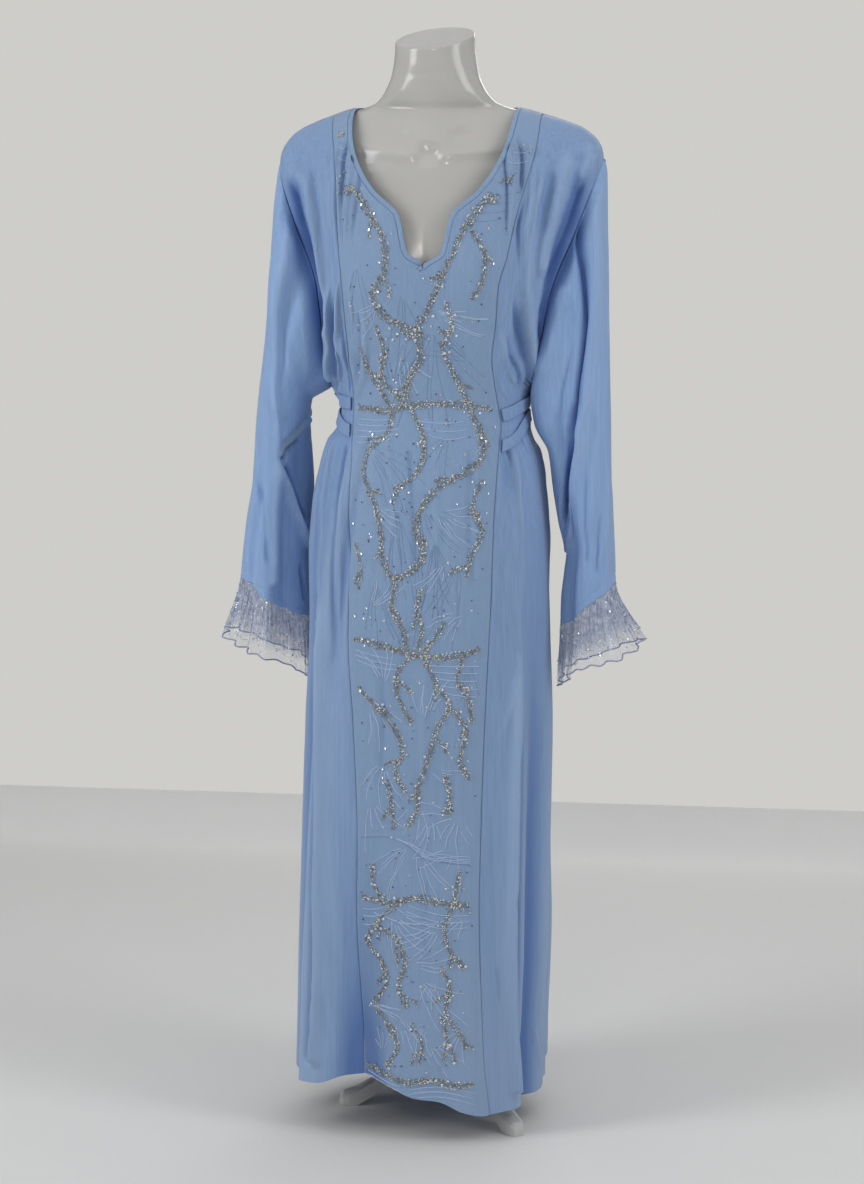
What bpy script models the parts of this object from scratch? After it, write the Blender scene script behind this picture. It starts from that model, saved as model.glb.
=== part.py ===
"""A long loose robe worn by a limbless dress form on a three-legged stand, at real size.

Metres, +Z up, front towards -Y. Every panel of cloth is a thin wall cut from one body surface or one sleeve
surface, so neighbours share their seams with a hairline gap between them.
"""

import math

import bmesh
import bpy
import numpy as np
from mathutils import Vector

# Driving dimensions
CLOTH = 0.0012
LACE = 0.0010
SEAM_GAP = 0.0003
HEM_LEVEL = 0.05
HEM_WARP_TOP = 0.32
UNDERARM_Z = 1.06
SHOULDER_Z = 1.444
SHOULDER_ROUND = 0.15
RIDGE_Y = 0.012
NECK_HALF = 0.120
PANEL_TOP_HALF = 0.147
SHOULDER_HALF = 0.230
TIP_SHIFT = 0.006
NOTCH_LEVEL = 1.2226
BACK_NECK_Z = 1.430
RUFFLE_LENGTH = 0.084
RUFFLE_WAVES = 14
STRAP_WIDTH = 0.018
BINDING_WIDTH = 0.007
NECK_HOLE_CENTRE = Vector((0.0, -0.06, 1.38))
STRAP_LIFT = 0.0012
FORM_BASE_Z = 0.80
POLE_RADIUS = 0.0125
HUB_HIGH = 0.136
STAND_CENTRE = (0.028, 0.030)
LEG_REACH = 0.175
LEG_ANGLES = (-52, 68, 188)

# Body of the robe, one row for each height: the ring's middle, its half width, and its depth before and behind.
BODY_RINGS = {
    "z": (0.02, 0.12, 0.265, 0.45, 0.577, 0.72, 0.82, 0.90, 0.955, 0.985, 1.005, 1.04, 1.07, 1.12, 1.20, 1.28, 1.34, 1.46),
    "centre_x": (-0.0255, -0.024, -0.019, -0.014, -0.0105, -0.0088, -0.010, -0.0103, -0.0077, -0.0075, -0.0035,
                 -0.002, -0.001, 0.0, 0.001, 0.002, 0.004, 0.006),
    "half_width": (0.1745, 0.174, 0.1765, 0.1765, 0.1758, 0.1708, 0.170, 0.1645, 0.156, 0.147, 0.137, 0.132,
                   0.136, 0.148, 0.165, 0.183, 0.201, 0.236),
    "front": (0.166, 0.163, 0.159, 0.153, 0.149, 0.142, 0.136, 0.127, 0.117, 0.110, 0.105, 0.099, 0.101, 0.108,
              0.115, 0.113, 0.110, 0.106),
    "back": (0.168, 0.164, 0.158, 0.151, 0.147, 0.143, 0.139, 0.133, 0.117, 0.104, 0.094, 0.084, 0.086, 0.093,
             0.101, 0.102, 0.101, 0.098),
}
ROUNDNESS = 2.25

# Seams of the centre front panel: its left and right edge as seen from the front.
PANEL_SEAMS = {
    "z": (0.02, 0.128, 0.212, 0.324, 0.436, 0.594, 0.717, 0.779, 0.872, 0.953, 1.0, 1.044, 1.10, 1.15, 1.207, 1.244,
          1.294, 1.337, 1.39, 1.444),
    "left_x": (-0.0912, -0.0889, -0.0908, -0.0938, -0.0922, -0.0985, -0.1062, -0.1053, -0.1084, -0.1049, -0.109,
               -0.1085, -0.1118, -0.1157, -0.1201, -0.1239, -0.1271, -0.1285, -0.1300, -0.135),
    "right_x": (0.0938, 0.0845, 0.0823, 0.080, 0.0823, 0.087, 0.092, 0.0945, 0.0963, 0.0994, 0.1033,
                0.0969, 0.0905, 0.0966, 0.102, 0.1124, 0.1226, 0.1334, 0.1464, 0.153),
}

# Front neckline, half of it, where the panel meets its binding: a scoop, a step, and a notch at the middle.
NECKLINE = {
    "z": (1.226, 1.248, 1.268, 1.291, 1.304, 1.3128, 1.330, 1.3565, 1.390, 1.419, 1.452),
    "x": (0.0, 0.0285, 0.0343, 0.0393, 0.0441, 0.0537, 0.0742, 0.0931, 0.1077, 0.1149, 0.120),
}

# Top of the shoulder, from the neck opening to the tip.
SHOULDER_LINE = {
    "x": (0.0, 0.113, 0.147, 0.176, 0.200, 0.216, 0.226, 0.230),
    "z": (1.455, 1.452, 1.443, 1.433, 1.423, 1.411, 1.396, 1.380),
}

# Armhole seam, from the underarm to the shoulder tip.
ARMHOLE = {
    "z": (1.060, 1.075, 1.120, 1.200, 1.280, 1.330, 1.358, 1.374, 1.380),
    "left_x": (0.152, 0.155, 0.158, 0.167, 0.196, 0.215, 0.225, 0.229, 0.230),
    "right_x": (0.136, 0.141, 0.151, 0.166, 0.196, 0.215, 0.225, 0.229, 0.230),
    "front_y": (0.005, -0.030, -0.050, -0.062, -0.060, -0.046, -0.026, -0.006, 0.012),
    "back_y": (0.005, 0.040, 0.055, 0.062, 0.062, 0.056, 0.042, 0.028, 0.012),
}

# Hem height round the robe, by angle from the front (positive to the wearer's left).
HEM = {
    "angle": (-180, -120, -95, -72, -58, -44, -31, -20, -8, 5, 18, 29, 40, 52, 66, 80, 100, 130, 180),
    "z": (0.055, 0.060, 0.066, 0.058, 0.066, 0.072, 0.088, 0.092, 0.084, 0.068, 0.062, 0.046, 0.038, 0.040, 0.041,
          0.040, 0.043, 0.048, 0.055),
}

# Folds of the body: angle at the belt, the hip and the hem (degrees), the heights where the fold ends,
# its height out of the cloth at top, middle and bottom (metres), and its reach to each side (degrees).
FOLD_COLUMNS = ("waist_angle", "hip_angle", "hem_angle", "top_z", "end_z", "top_out", "mid_out", "end_out", "left", "right")
BODY_FOLDS = (
    (-42, -56, -57, 0.985, 0.00, 0.003, 0.008, 0.013, 9, 26),
    (-58, -69, -71, 0.985, 0.00, -0.002, -0.012, -0.022, 12, 12),
    (-74, -86, -90, 0.985, 0.00, 0.002, 0.004, 0.009, 14, 14),
    (-37, -45, -46, 0.985, 0.55, -0.004, -0.007, 0.0, 7, 5),
    (-30, -30, -22, 0.50, 0.00, 0.0, -0.004, -0.022, 18, 20),
    (8, 8, 8, 0.55, 0.00, 0.0, 0.002, 0.006, 22, 22),
    (28, 28, 33, 0.60, 0.00, 0.0, 0.003, 0.012, 20, 14),
    (46, 54, 56, 0.78, 0.00, 0.0, 0.006, 0.013, 22, 11),
    (58, 67, 70, 0.85, 0.00, 0.0, -0.010, -0.017, 11, 13),
    (74, 86, 91, 0.985, 0.00, 0.002, 0.004, 0.007, 14, 14),
    (56, 58, 58, 0.99, 0.90, -0.003, -0.004, 0.0, 6, 6),
    (118, 112, 108, 0.985, 0.00, 0.003, 0.006, 0.012, 12, 14),
    (130, 128, 126, 0.985, 0.00, -0.003, -0.007, -0.014, 10, 10),
    (146, 146, 145, 0.985, 0.00, 0.003, 0.007, 0.013, 13, 10),
    (164, 164, 163, 0.985, 0.00, -0.003, -0.006, -0.012, 10, 11),
    (181, 180, 180, 0.985, 0.00, 0.002, 0.006, 0.012, 13, 13),
    (197, 198, 199, 0.985, 0.00, -0.003, -0.007, -0.013, 10, 10),
    (214, 216, 217, 0.985, 0.00, 0.003, 0.007, 0.012, 12, 12),
    (231, 234, 236, 0.985, 0.00, -0.002, -0.006, -0.013, 10, 10),
    (245, 250, 253, 0.985, 0.00, 0.002, 0.005, 0.010, 12, 12),
)
# Folds above the belt, bloused over it: angle, heights, depth and reach.
BLOUSE_COLUMNS = ("angle", "top_angle", "low_z", "high_z", "out", "left", "right")
BLOUSE_FOLDS = (
    (-61, -58, 1.065, 1.25, 0.006, 6, 6),
    (-54, -48, 1.065, 1.24, -0.006, 5, 5),
    (53, 50, 1.065, 1.22, 0.005, 6, 6),
    (61, 60, 1.065, 1.22, -0.005, 6, 6),
    (125, 122, 1.065, 1.30, 0.006, 9, 9),
    (142, 138, 1.065, 1.30, -0.006, 9, 9),
    (160, 156, 1.065, 1.34, 0.006, 10, 10),
    (180, 180, 1.065, 1.34, -0.006, 11, 11),
    (200, 204, 1.065, 1.34, 0.006, 10, 10),
    (218, 222, 1.065, 1.30, -0.006, 9, 9),
    (235, 238, 1.065, 1.30, 0.006, 9, 9),
)
FOLD_FADE = 0.03
BUST_X, BUST_Z, BUST_OUT = 0.074, 1.225, 0.016

# Sleeves, one row for each height: inner and outer edge (distance from the middle), front and back.
RIGHT_SLEEVE = {
    "z": (0.70, 0.76, 0.80, 0.83, 0.87, 0.92, 0.97, 1.01, 1.05, 1.12, 1.20, 1.30, 1.36, 1.41),
    "inner": (0.179, 0.180, 0.184, 0.187, 0.179, 0.171, 0.164, 0.143, 0.136, 0.150, 0.166, 0.180, 0.190, 0.195),
    "outer": (0.260, 0.257, 0.255, 0.254, 0.2525, 0.2505, 0.2495, 0.249, 0.248, 0.246, 0.244, 0.242, 0.241, 0.230),
    "front": (-0.043, -0.043, -0.044, -0.045, -0.047, -0.049, -0.051, -0.053, -0.056, -0.061, -0.066, -0.060,
              -0.045, -0.010),
    "back": (0.047, 0.047, 0.048, 0.049, 0.051, 0.053, 0.056, 0.059, 0.062, 0.066, 0.070, 0.066, 0.055, 0.034),
}
LEFT_SLEEVE = {
    "z": (0.70, 0.77, 0.82, 0.87, 0.92, 0.97, 1.01, 1.05, 1.10, 1.18, 1.25, 1.31, 1.36, 1.41),
    "inner": (0.191, 0.191, 0.190, 0.186, 0.182, 0.184, 0.186, 0.180, 0.164, 0.166, 0.172, 0.180, 0.186, 0.190),
    "outer": (0.297, 0.292, 0.287, 0.280, 0.271, 0.266, 0.262, 0.257, 0.250, 0.241, 0.2365, 0.2325, 0.227, 0.219),
    "front": (-0.018, -0.019, -0.022, -0.026, -0.032, -0.040, -0.047, -0.054, -0.060, -0.066, -0.066, -0.060,
              -0.045, -0.010),
    "back": (0.078, 0.078, 0.078, 0.076, 0.074, 0.072, 0.070, 0.068, 0.067, 0.068, 0.070, 0.064, 0.055, 0.034),
}
# Long folds of the sleeves: place round the ring (0 underarm, 0.25 front, 0.5 outer) at top and bottom,
# heights, depth and reach.
SLEEVE_FOLD_COLUMNS = ("top_place", "end_place", "top_z", "end_z", "out", "reach")
RIGHT_SLEEVE_FOLDS = (
    (0.34, 0.12, 1.37, 0.80, -0.016, 0.085),
    (0.22, 0.02, 1.26, 0.90, 0.005, 0.08),
    (0.44, 0.36, 1.34, 0.72, 0.004, 0.08),
    (0.66, 0.70, 1.32, 0.72, -0.014, 0.07),
    (0.82, 0.86, 1.24, 0.72, 0.006, 0.08),
)
LEFT_SLEEVE_FOLDS = (
    (0.37, 0.24, 1.34, 0.72, 0.013, 0.075),
    (0.26, 0.36, 1.30, 0.72, -0.008, 0.07),
    (0.62, 0.66, 1.32, 0.72, -0.013, 0.07),
    (0.78, 0.82, 1.24, 0.72, 0.006, 0.08),
)
ELBOW_DENT = {"place": 0.10, "reach": 0.14, "z": 0.940, "half_height": 0.095, "depth": 0.017}
CUFF_INNER_Z, CUFF_OUTER_Z = 0.724, 0.782

# The two ties on each side: their height from the side seam (0) to the front panel's seam (1).
BELT_UPPER = {"from_side": (0.0, 0.4, 1.0), "left": (1.041, 1.041, 1.040), "right": (1.041, 1.037, 1.026)}
BELT_LOWER = {"from_side": (0.0, 0.4, 1.0), "left": (1.021, 1.016, 1.003), "right": (1.021, 1.011, 0.984)}

HUB_PROFILE = ((0.020, 0.086), (0.0265, 0.092), (0.0265, 0.128), (0.021, 0.1355), (0.0135, 0.136))

# Dress form, one row for each height: half width, depth before and behind, and how full the corners are.
FORM_RINGS = {
    "z": (0.800, 0.815, 0.850, 0.900, 0.955, 1.000, 1.045, 1.100, 1.160, 1.220, 1.280, 1.330, 1.360, 1.385, 1.403,
          1.417, 1.4312, 1.4414, 1.4470, 1.4510, 1.459, 1.476, 1.497, 1.550),
    "half_width": (0.118, 0.134, 0.143, 0.144, 0.136, 0.124, 0.118, 0.124, 0.131, 0.138, 0.150, 0.172, 0.190, 0.199,
                   0.200, 0.191, 0.171, 0.146, 0.123, 0.103, 0.084, 0.070, 0.0615, 0.0555),
    "front": (0.078, 0.094, 0.103, 0.103, 0.097, 0.089, 0.084, 0.090, 0.099, 0.104, 0.100, 0.096, 0.094, 0.088,
              0.082, 0.075, 0.068, 0.062, 0.057, 0.053, 0.050, 0.048, 0.048, 0.052),
    "back": (0.080, 0.098, 0.108, 0.108, 0.090, 0.074, 0.064, 0.068, 0.076, 0.080, 0.079, 0.070, 0.061, 0.053,
             0.047, 0.043, 0.039, 0.035, 0.034, 0.036, 0.042, 0.049, 0.052, 0.054),
    "centre_y": (0.0, 0.0, 0.0, 0.0, 0.0, 0.0, 0.0, 0.0, 0.0, 0.0, 0.0, 0.004, 0.009, 0.012, 0.012, 0.012, 0.012,
                 0.012, 0.010, 0.007, 0.000, -0.008, -0.012, -0.014),
    "fullness": (2.2, 2.2, 2.2, 2.2, 2.2, 2.2, 2.2, 2.2, 2.2, 2.2, 2.2, 2.1, 1.9, 1.75, 1.6, 1.5, 1.4, 1.35, 1.35,
                 1.4, 1.7, 2.0, 2.0, 2.0),
}
NECK_TILT_Y, NECK_TILT_X = 0.30, 0.08

# Counts of rows and columns
PANEL_COLUMNS = 5
SIDE_COLUMNS = 8
BACK_ACROSS = (0.0, 0.1, 0.2, 0.3, 0.41, NECK_HALF / SHOULDER_HALF, 0.62, 0.71, 0.80, 0.90, 1.0)
SLEEVE_ROWS = 15
RUFFLE_ROWS, RUFFLE_COLUMNS = 3, 70
SKIRT_LEVELS = (0.05, 0.12, 0.20, 0.29, 0.40, 0.52, 0.64, 0.75, 0.84, 0.91, 0.96, 0.995, 1.02, 1.04)
BODICE_LEVELS = (1.06, 1.10, 1.145, 1.185, 1.2226, 1.2442, 1.266, 1.2863, 1.299, 1.3077, 1.3246, 1.3505, 1.3833, 1.4117,
                 1.434, 1.444)
LEVELS = SKIRT_LEVELS + BODICE_LEVELS
NOTCH_ROW = LEVELS.index(NOTCH_LEVEL)


def smooth(t):
    """0 to 1 with level ends."""
    t = min(1.0, max(0.0, t))
    return t * t * (3 - 2 * t)


def along(table, column, at, key="z"):
    """Reads a column of a table at any value of its key, on a curve that never overshoots its rows."""
    x, y = table[key], table[column]
    if at <= x[0]:
        return y[0]
    if at >= x[-1]:
        return y[-1]
    i = int(np.searchsorted(x, at, side="right")) - 1

    def slope(k):
        if k <= 0 or k >= len(x) - 1:
            return 0.0
        before = (y[k] - y[k - 1]) / (x[k] - x[k - 1])
        after = (y[k + 1] - y[k]) / (x[k + 1] - x[k])
        return 0.0 if before * after <= 0 else 2 * before * after / (before + after)

    width = x[i + 1] - x[i]
    t = (at - x[i]) / width
    start, end = slope(i) * width, slope(i + 1) * width
    return (
        y[i] * (1 + 2 * t) * (1 - t) ** 2 + start * t * (1 - t) ** 2
        + y[i + 1] * t * t * (3 - 2 * t) + end * t * t * (t - 1)
    )


def ring_radius(angle, half_width, front, back, fullness):
    """Distance from the middle of a rounded section to its edge. Angle 0 is the front."""
    across, depth = abs(math.sin(angle)), math.cos(angle)
    reach = front if depth >= 0 else back
    return ((across / half_width) ** fullness + (abs(depth) / reach) ** fullness) ** (-1 / fullness)


def wrap(degrees):
    return (degrees + 180) % 360 - 180


def ridge(offset, left, right):
    """A soft rise that is 1 at offset 0 and ends at -left and right."""
    return 1 - smooth(abs(offset) / (left if offset < 0 else right))


def fold_out(angle, z):
    """How far the folds lift the body's cloth outward."""
    degrees, out = math.degrees(angle), 0.0
    for row in BODY_FOLDS:
        f = dict(zip(FOLD_COLUMNS, row))
        if not f["end_z"] <= z <= f["top_z"] + FOLD_FADE:
            continue
        place = {"z": (0.0, 0.70, 0.98), "angle": (f["hem_angle"], f["hip_angle"], f["waist_angle"])}
        down = min(1.0, (f["top_z"] - z) / (f["top_z"] - f["end_z"]))
        height = {"t": (0.0, 0.45, 1.0), "out": (f["top_out"], f["mid_out"], f["end_out"])}
        offset = wrap(degrees - along(place, "angle", z))
        fade = smooth((f["top_z"] + FOLD_FADE - z) / FOLD_FADE)
        out += along(height, "out", down, "t") * fade * ridge(offset, f["left"], f["right"])
    for row in BLOUSE_FOLDS:
        f = dict(zip(BLOUSE_COLUMNS, row))
        if f["low_z"] < z < f["high_z"]:
            up = (z - f["low_z"]) / (f["high_z"] - f["low_z"])
            offset = wrap(degrees - f["angle"] - (f["top_angle"] - f["angle"]) * up)
            out += f["out"] * smooth(up * 4) * smooth((1 - up) * 1.6) * ridge(offset, f["left"], f["right"])
    return out


def bust_out(x, z):
    """The bust: soft to the sides and above, hanging longer below."""
    spread = 0.062 if z > BUST_Z else 0.085
    return BUST_OUT * math.exp(-(((abs(x) - BUST_X) / 0.058) ** 2) - ((z - BUST_Z) / spread) ** 2)


def body_ring(z):
    return tuple(along(BODY_RINGS, c, z) for c in ("centre_x", "half_width", "front", "back"))


def angle_at(x, z):
    """The angle, on the front, whose point of the plain ring lies at x."""
    centre, half_width, front, back = body_ring(z)
    low, high = -math.pi / 2, math.pi / 2
    for _ in range(40):
        middle = (low + high) / 2
        reach = ring_radius(middle, half_width, front, back, ROUNDNESS) * math.sin(middle)
        low, high = (middle, high) if centre + reach < x else (low, middle)
    return (low + high) / 2


def body_point(angle, z, ridge_x):
    """A point of the body's outside. Near the shoulder it rounds over to the top line, at ridge_x."""
    centre, half_width, front, back = body_ring(z)
    radius = ring_radius(angle, half_width, front, back, ROUNDNESS) + fold_out(angle, z)
    x = centre + radius * math.sin(angle)
    y = -radius * math.cos(angle)
    if math.cos(angle) > 0:
        y -= bust_out(x, z) * math.cos(angle)
    top = along(SHOULDER_LINE, "z", abs(ridge_x), "x")
    up = min(1.0, max(0.0, (z - top + SHOULDER_ROUND) / SHOULDER_ROUND))
    y = RIDGE_Y + (y - RIDGE_Y) * math.sqrt(1 - up * up)
    x += (ridge_x + TIP_SHIFT * smooth((abs(ridge_x) - NECK_HALF) / 0.08) - x) * up ** 3
    return Vector((x, y, z))


def level_z(level, angle, ridge_x):
    """Height of a level of the body at an angle: the lowest levels follow the hem, the highest the shoulder."""
    if level <= HEM_WARP_TOP:
        hem = along(HEM, "z", wrap(math.degrees(angle)), "angle")
        up = (level - HEM_LEVEL) / (HEM_WARP_TOP - HEM_LEVEL)
        return hem + (HEM_WARP_TOP - hem) * up
    if level <= UNDERARM_Z:
        return level
    top = along(SHOULDER_LINE, "z", abs(ridge_x), "x")
    return UNDERARM_Z + (top - UNDERARM_Z) * (level - UNDERARM_Z) / (SHOULDER_Z - UNDERARM_Z)


def armhole_point(side, half, up):
    """A point of the armhole seam; up is 0 at the underarm and 1 at the shoulder tip."""
    z = UNDERARM_Z + (ARMHOLE["z"][-1] - UNDERARM_Z) * up
    x = side * along(ARMHOLE, "left_x" if side < 0 else "right_x", z) + TIP_SHIFT * smooth(up * 1.2)
    return Vector((x, along(ARMHOLE, half + "_y", z), z))


def seam_angle(side, level):
    z = min(level, SHOULDER_Z)
    return angle_at(along(PANEL_SEAMS, "right_x" if side > 0 else "left_x", z), z)


def centre_front_angle(level):
    z = min(level, SHOULDER_Z)
    return angle_at((along(PANEL_SEAMS, "right_x", z) + along(PANEL_SEAMS, "left_x", z)) / 2, z)


def panel_point(side, across, level):
    """The centre front panel; across is 0 at its middle or its neckline, and 1 at its seam."""
    outer = seam_angle(side, level)
    ridge_x = side * (NECK_HALF + (PANEL_TOP_HALF - NECK_HALF) * across)
    top = along(SHOULDER_LINE, "z", abs(ridge_x), "x")
    z_in = level if level <= UNDERARM_Z else UNDERARM_Z + (top - UNDERARM_Z) * (level - UNDERARM_Z) / (
        SHOULDER_Z - UNDERARM_Z)
    inner = centre_front_angle(level)
    if level > NOTCH_LEVEL:
        inner = angle_at(side * along(NECKLINE, "x", z_in), z_in)
    angle = inner + (outer - inner) * across
    return body_point(angle, level_z(level, angle, ridge_x), ridge_x)


def anchored(side, half, across, level, core):
    """core, drawn to the armhole seam as across nears 1."""
    up = max(0.0, (level - UNDERARM_Z) / (SHOULDER_Z - UNDERARM_Z))
    pull = armhole_point(side, half, up) - core(1.0, max(level, UNDERARM_Z))
    fade = smooth(1 - (UNDERARM_Z - level) / 0.025) if level < UNDERARM_Z else 1.0
    return core(across, level) + pull * (smooth((across - 0.45) / 0.55) * fade)


def side_angle(side, half, level):
    """Angle of the side seam, or of the armhole seam above the underarm."""
    if level <= UNDERARM_Z:
        return side * math.pi / 2
    p = armhole_point(side, half, (level - UNDERARM_Z) / (SHOULDER_Z - UNDERARM_Z))
    return math.atan2(p.x, -p.y)


def side_point(side, across, level):
    """A side front panel; across is 0 at the centre panel's seam and 1 at the side seam or the armhole."""
    def core(s, lev):
        start, end = seam_angle(side, lev), side_angle(side, "front", lev)
        angle = start + (end - start) * s
        ridge_x = side * (PANEL_TOP_HALF + (SHOULDER_HALF - PANEL_TOP_HALF) * s)
        return body_point(angle, level_z(lev, angle, ridge_x), ridge_x)

    return anchored(side, "front", across, level, core)


def back_point(side, across, level):
    """Half the back; across is 0 at the centre back and 1 at the side seam or the armhole."""
    def core(s, lev):
        start, end = side * math.pi, side_angle(side, "back", lev)
        angle = start + (end - start) * s
        ridge_x = side * SHOULDER_HALF * s
        z = level_z(lev, angle, ridge_x)
        if lev > UNDERARM_Z:
            dip = along(SHOULDER_LINE, "z", 0.0, "x") - BACK_NECK_Z
            open_share = max(0.0, 1 - (abs(ridge_x) / NECK_HALF) ** 2)
            z -= dip * open_share * ((lev - UNDERARM_Z) / (SHOULDER_Z - UNDERARM_Z)) ** 2
        return body_point(angle, z, ridge_x)

    return anchored(side, "back", across, level, core)


def normal_of(surface, u, v, du=0.004, dv=0.003):
    """Unit normal of surface(u, v) by differences."""
    a = surface(u + du, v) - surface(u - du, v)
    b = surface(u, v + dv) - surface(u, v - dv)
    n = a.cross(b)
    return n.normalized() if n.length > 1e-12 else Vector((0, 0, 1))


def sleeve_fold_out(folds, place, z):
    out = 0.0
    for row in folds:
        f = dict(zip(SLEEVE_FOLD_COLUMNS, row))
        down = (f["top_z"] - z) / (f["top_z"] - f["end_z"])
        if 0 < down < 1.2:
            centre = f["top_place"] + (f["end_place"] - f["top_place"]) * min(1.0, down)
            offset = (place - centre + 0.5) % 1 - 0.5
            out += f["out"] * smooth(down * 5) * ridge(offset, f["reach"], f["reach"])
    return out


def sleeve_ring(side, place, z):
    """A point of the sleeve's outside, with its folds. Place runs underarm, front, outer edge, back."""
    table = RIGHT_SLEEVE if side > 0 else LEFT_SLEEVE
    inner, outer, front, back = (along(table, c, z) for c in ("inner", "outer", "front", "back"))
    turn = 2 * math.pi * place
    middle, half = (inner + outer) / 2, (outer - inner) / 2
    middle_y, depth = (front + back) / 2, (back - front) / 2
    out = sleeve_fold_out(RIGHT_SLEEVE_FOLDS if side > 0 else LEFT_SLEEVE_FOLDS, place, z)
    if side < 0:
        d = ELBOW_DENT
        offset = (place - d["place"] + 0.5) % 1 - 0.5
        out -= d["depth"] * ridge(offset, d["reach"], d["reach"]) * ridge(z - d["z"], d["half_height"], d["half_height"])
    x = middle - (half + out * half / 0.05) * math.cos(turn)
    y = middle_y - (depth + out) * math.sin(turn)
    return Vector((side * x, y, z))


def armhole_at(side, place):
    """The armhole seam by place round the sleeve."""
    return armhole_point(side, "front" if place <= 0.5 else "back", (1 - math.cos(2 * math.pi * place)) / 2)


def armhole_out(side, place, own):
    """The way out of the armhole seam: shared by both walls at the shoulder, each wall's own at the underarm."""
    p = armhole_at(side, place)
    high, deep = (ARMHOLE["z"][-1] - UNDERARM_Z) / 2, 0.060
    shared = Vector((0, (p.y - 0.006) / deep ** 2, (p.z - UNDERARM_Z - high) / high ** 2)).normalized()
    return (shared + own * (1 + math.cos(2 * math.pi * place)) / 2).normalized()


def panel_out(surface, side, half, across, level, middle):
    """The way out of a body panel, level with its neighbours' along every seam."""
    n = outward(normal_of(surface, across, min(level, SHOULDER_Z - 0.004)), surface(across, level), middle)
    if level == SHOULDER_Z and abs(surface(across, level).x) >= NECK_HALF - 0.001:
        n = Vector((n.x * 0.3, 0, 1)).normalized()
    elif half and across > 0.99 and level >= UNDERARM_Z:
        up = (level - UNDERARM_Z) / (SHOULDER_Z - UNDERARM_Z)
        place = math.acos(1 - 2 * up) / (2 * math.pi)
        n = armhole_out(side, place if half == "front" else 1 - place, n)
    return n


def cuff_z(place):
    return CUFF_INNER_Z + (CUFF_OUTER_Z - CUFF_INNER_Z) * (1 - math.cos(2 * math.pi * place)) / 2


def sleeve_point(side, place, down):
    """The sleeve: down is 0 at the armhole seam and 1 at the cuff."""
    place %= 1.0
    seam = armhole_at(side, place)
    z = seam.z + (cuff_z(place) - seam.z) * down
    pull = seam - sleeve_ring(side, place, seam.z)
    low = 0.022 if side < 0 else 0.050
    reach = low + (0.165 - low) * (1 - math.cos(2 * math.pi * place)) / 2
    return sleeve_ring(side, place, z) + pull * (1 - smooth((seam.z - z) / reach))


def seam_places():
    """Places round the armhole that face the body's levels, front then back."""
    front = [math.acos(1 - 2 * (level - UNDERARM_Z) / (SHOULDER_Z - UNDERARM_Z)) / (2 * math.pi) for level in BODICE_LEVELS]
    return front + [1 - place for place in front[-2:0:-1]]


def cuff_point(side, place):
    """The sleeve's lower edge as it is built, from straight pieces between its columns."""
    places = seam_places() + [1.0]
    i = min(int(np.searchsorted(places, place, side="right")) - 1, len(places) - 2)
    t = (place - places[i]) / (places[i + 1] - places[i])
    return sleeve_point(side, places[i], 1.0) * (1 - t) + sleeve_point(side, places[i + 1], 1.0) * t


def cuff_out(side, place):
    """The level way out of the cuff, shared by the sleeve and its frill, from straight pieces as the edge itself."""
    def at(where):
        along_edge = sleeve_point(side, where + 0.01, 1.0) - sleeve_point(side, where - 0.01, 1.0)
        middle = (sleeve_point(side, 0.0, 1.0) + sleeve_point(side, 0.5, 1.0)) / 2
        return outward(Vector((along_edge.y, -along_edge.x, 0)).normalized(), sleeve_point(side, where, 1.0), middle)

    places = seam_places() + [1.0]
    i = min(int(np.searchsorted(places, place, side="right")) - 1, len(places) - 2)
    t = (place - places[i]) / (places[i + 1] - places[i])
    return at(places[i]) * (1 - t) + at(places[i + 1]) * t


def ruffle_point(side, place, down):
    """The lace frill: gathered at the cuff, waved and spread at its edge."""
    place %= 1.0
    root = cuff_point(side, place)
    middle = (sleeve_point(side, 0.0, 1.0) + sleeve_point(side, 0.5, 1.0)) / 2
    away = Vector((root.x - middle.x, root.y, 0)).normalized()
    flare = (0.040 if side > 0 else 0.024) * ((1 - math.cos(2 * math.pi * place)) / 2) ** 0.7
    wave = math.sin(2 * math.pi * (RUFFLE_WAVES * place + 0.14 * math.sin(2 * math.pi * place * 3)))
    spread = flare * down ** 1.3 + 0.0058 * wave * smooth(down * 1.15) * (1 - 0.35 * math.cos(math.pi * place) ** 2)
    length = RUFFLE_LENGTH * (1 + 0.05 * math.sin(2 * math.pi * place * 3 + 1))
    drop = length * down
    return root + away * spread - Vector((0, 0, drop + SEAM_GAP))


def material(name, colour, roughness, metallic=0.0):
    m = bpy.data.materials.new(name)
    m.use_nodes = True
    shader = m.node_tree.nodes["Principled BSDF"]
    shader.inputs["Base Color"].default_value = (*colour, 1.0)
    shader.inputs["Roughness"].default_value = roughness
    shader.inputs["Metallic"].default_value = metallic
    return m


def add_object(name, mesh, finish):
    obj = bpy.data.objects.new(name, mesh)
    PARTS.objects.link(obj)
    obj.data.materials.append(finish)
    return obj


def halves(corners, points):
    """The two triangles of a four-cornered cell, cut along its shorter diagonal."""
    a, b, c, d = corners
    if (points[a] - points[c]).length <= (points[b] - points[d]).length:
        return [a, b, c], [a, c, d]
    return [a, b, d], [b, c, d]


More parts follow.
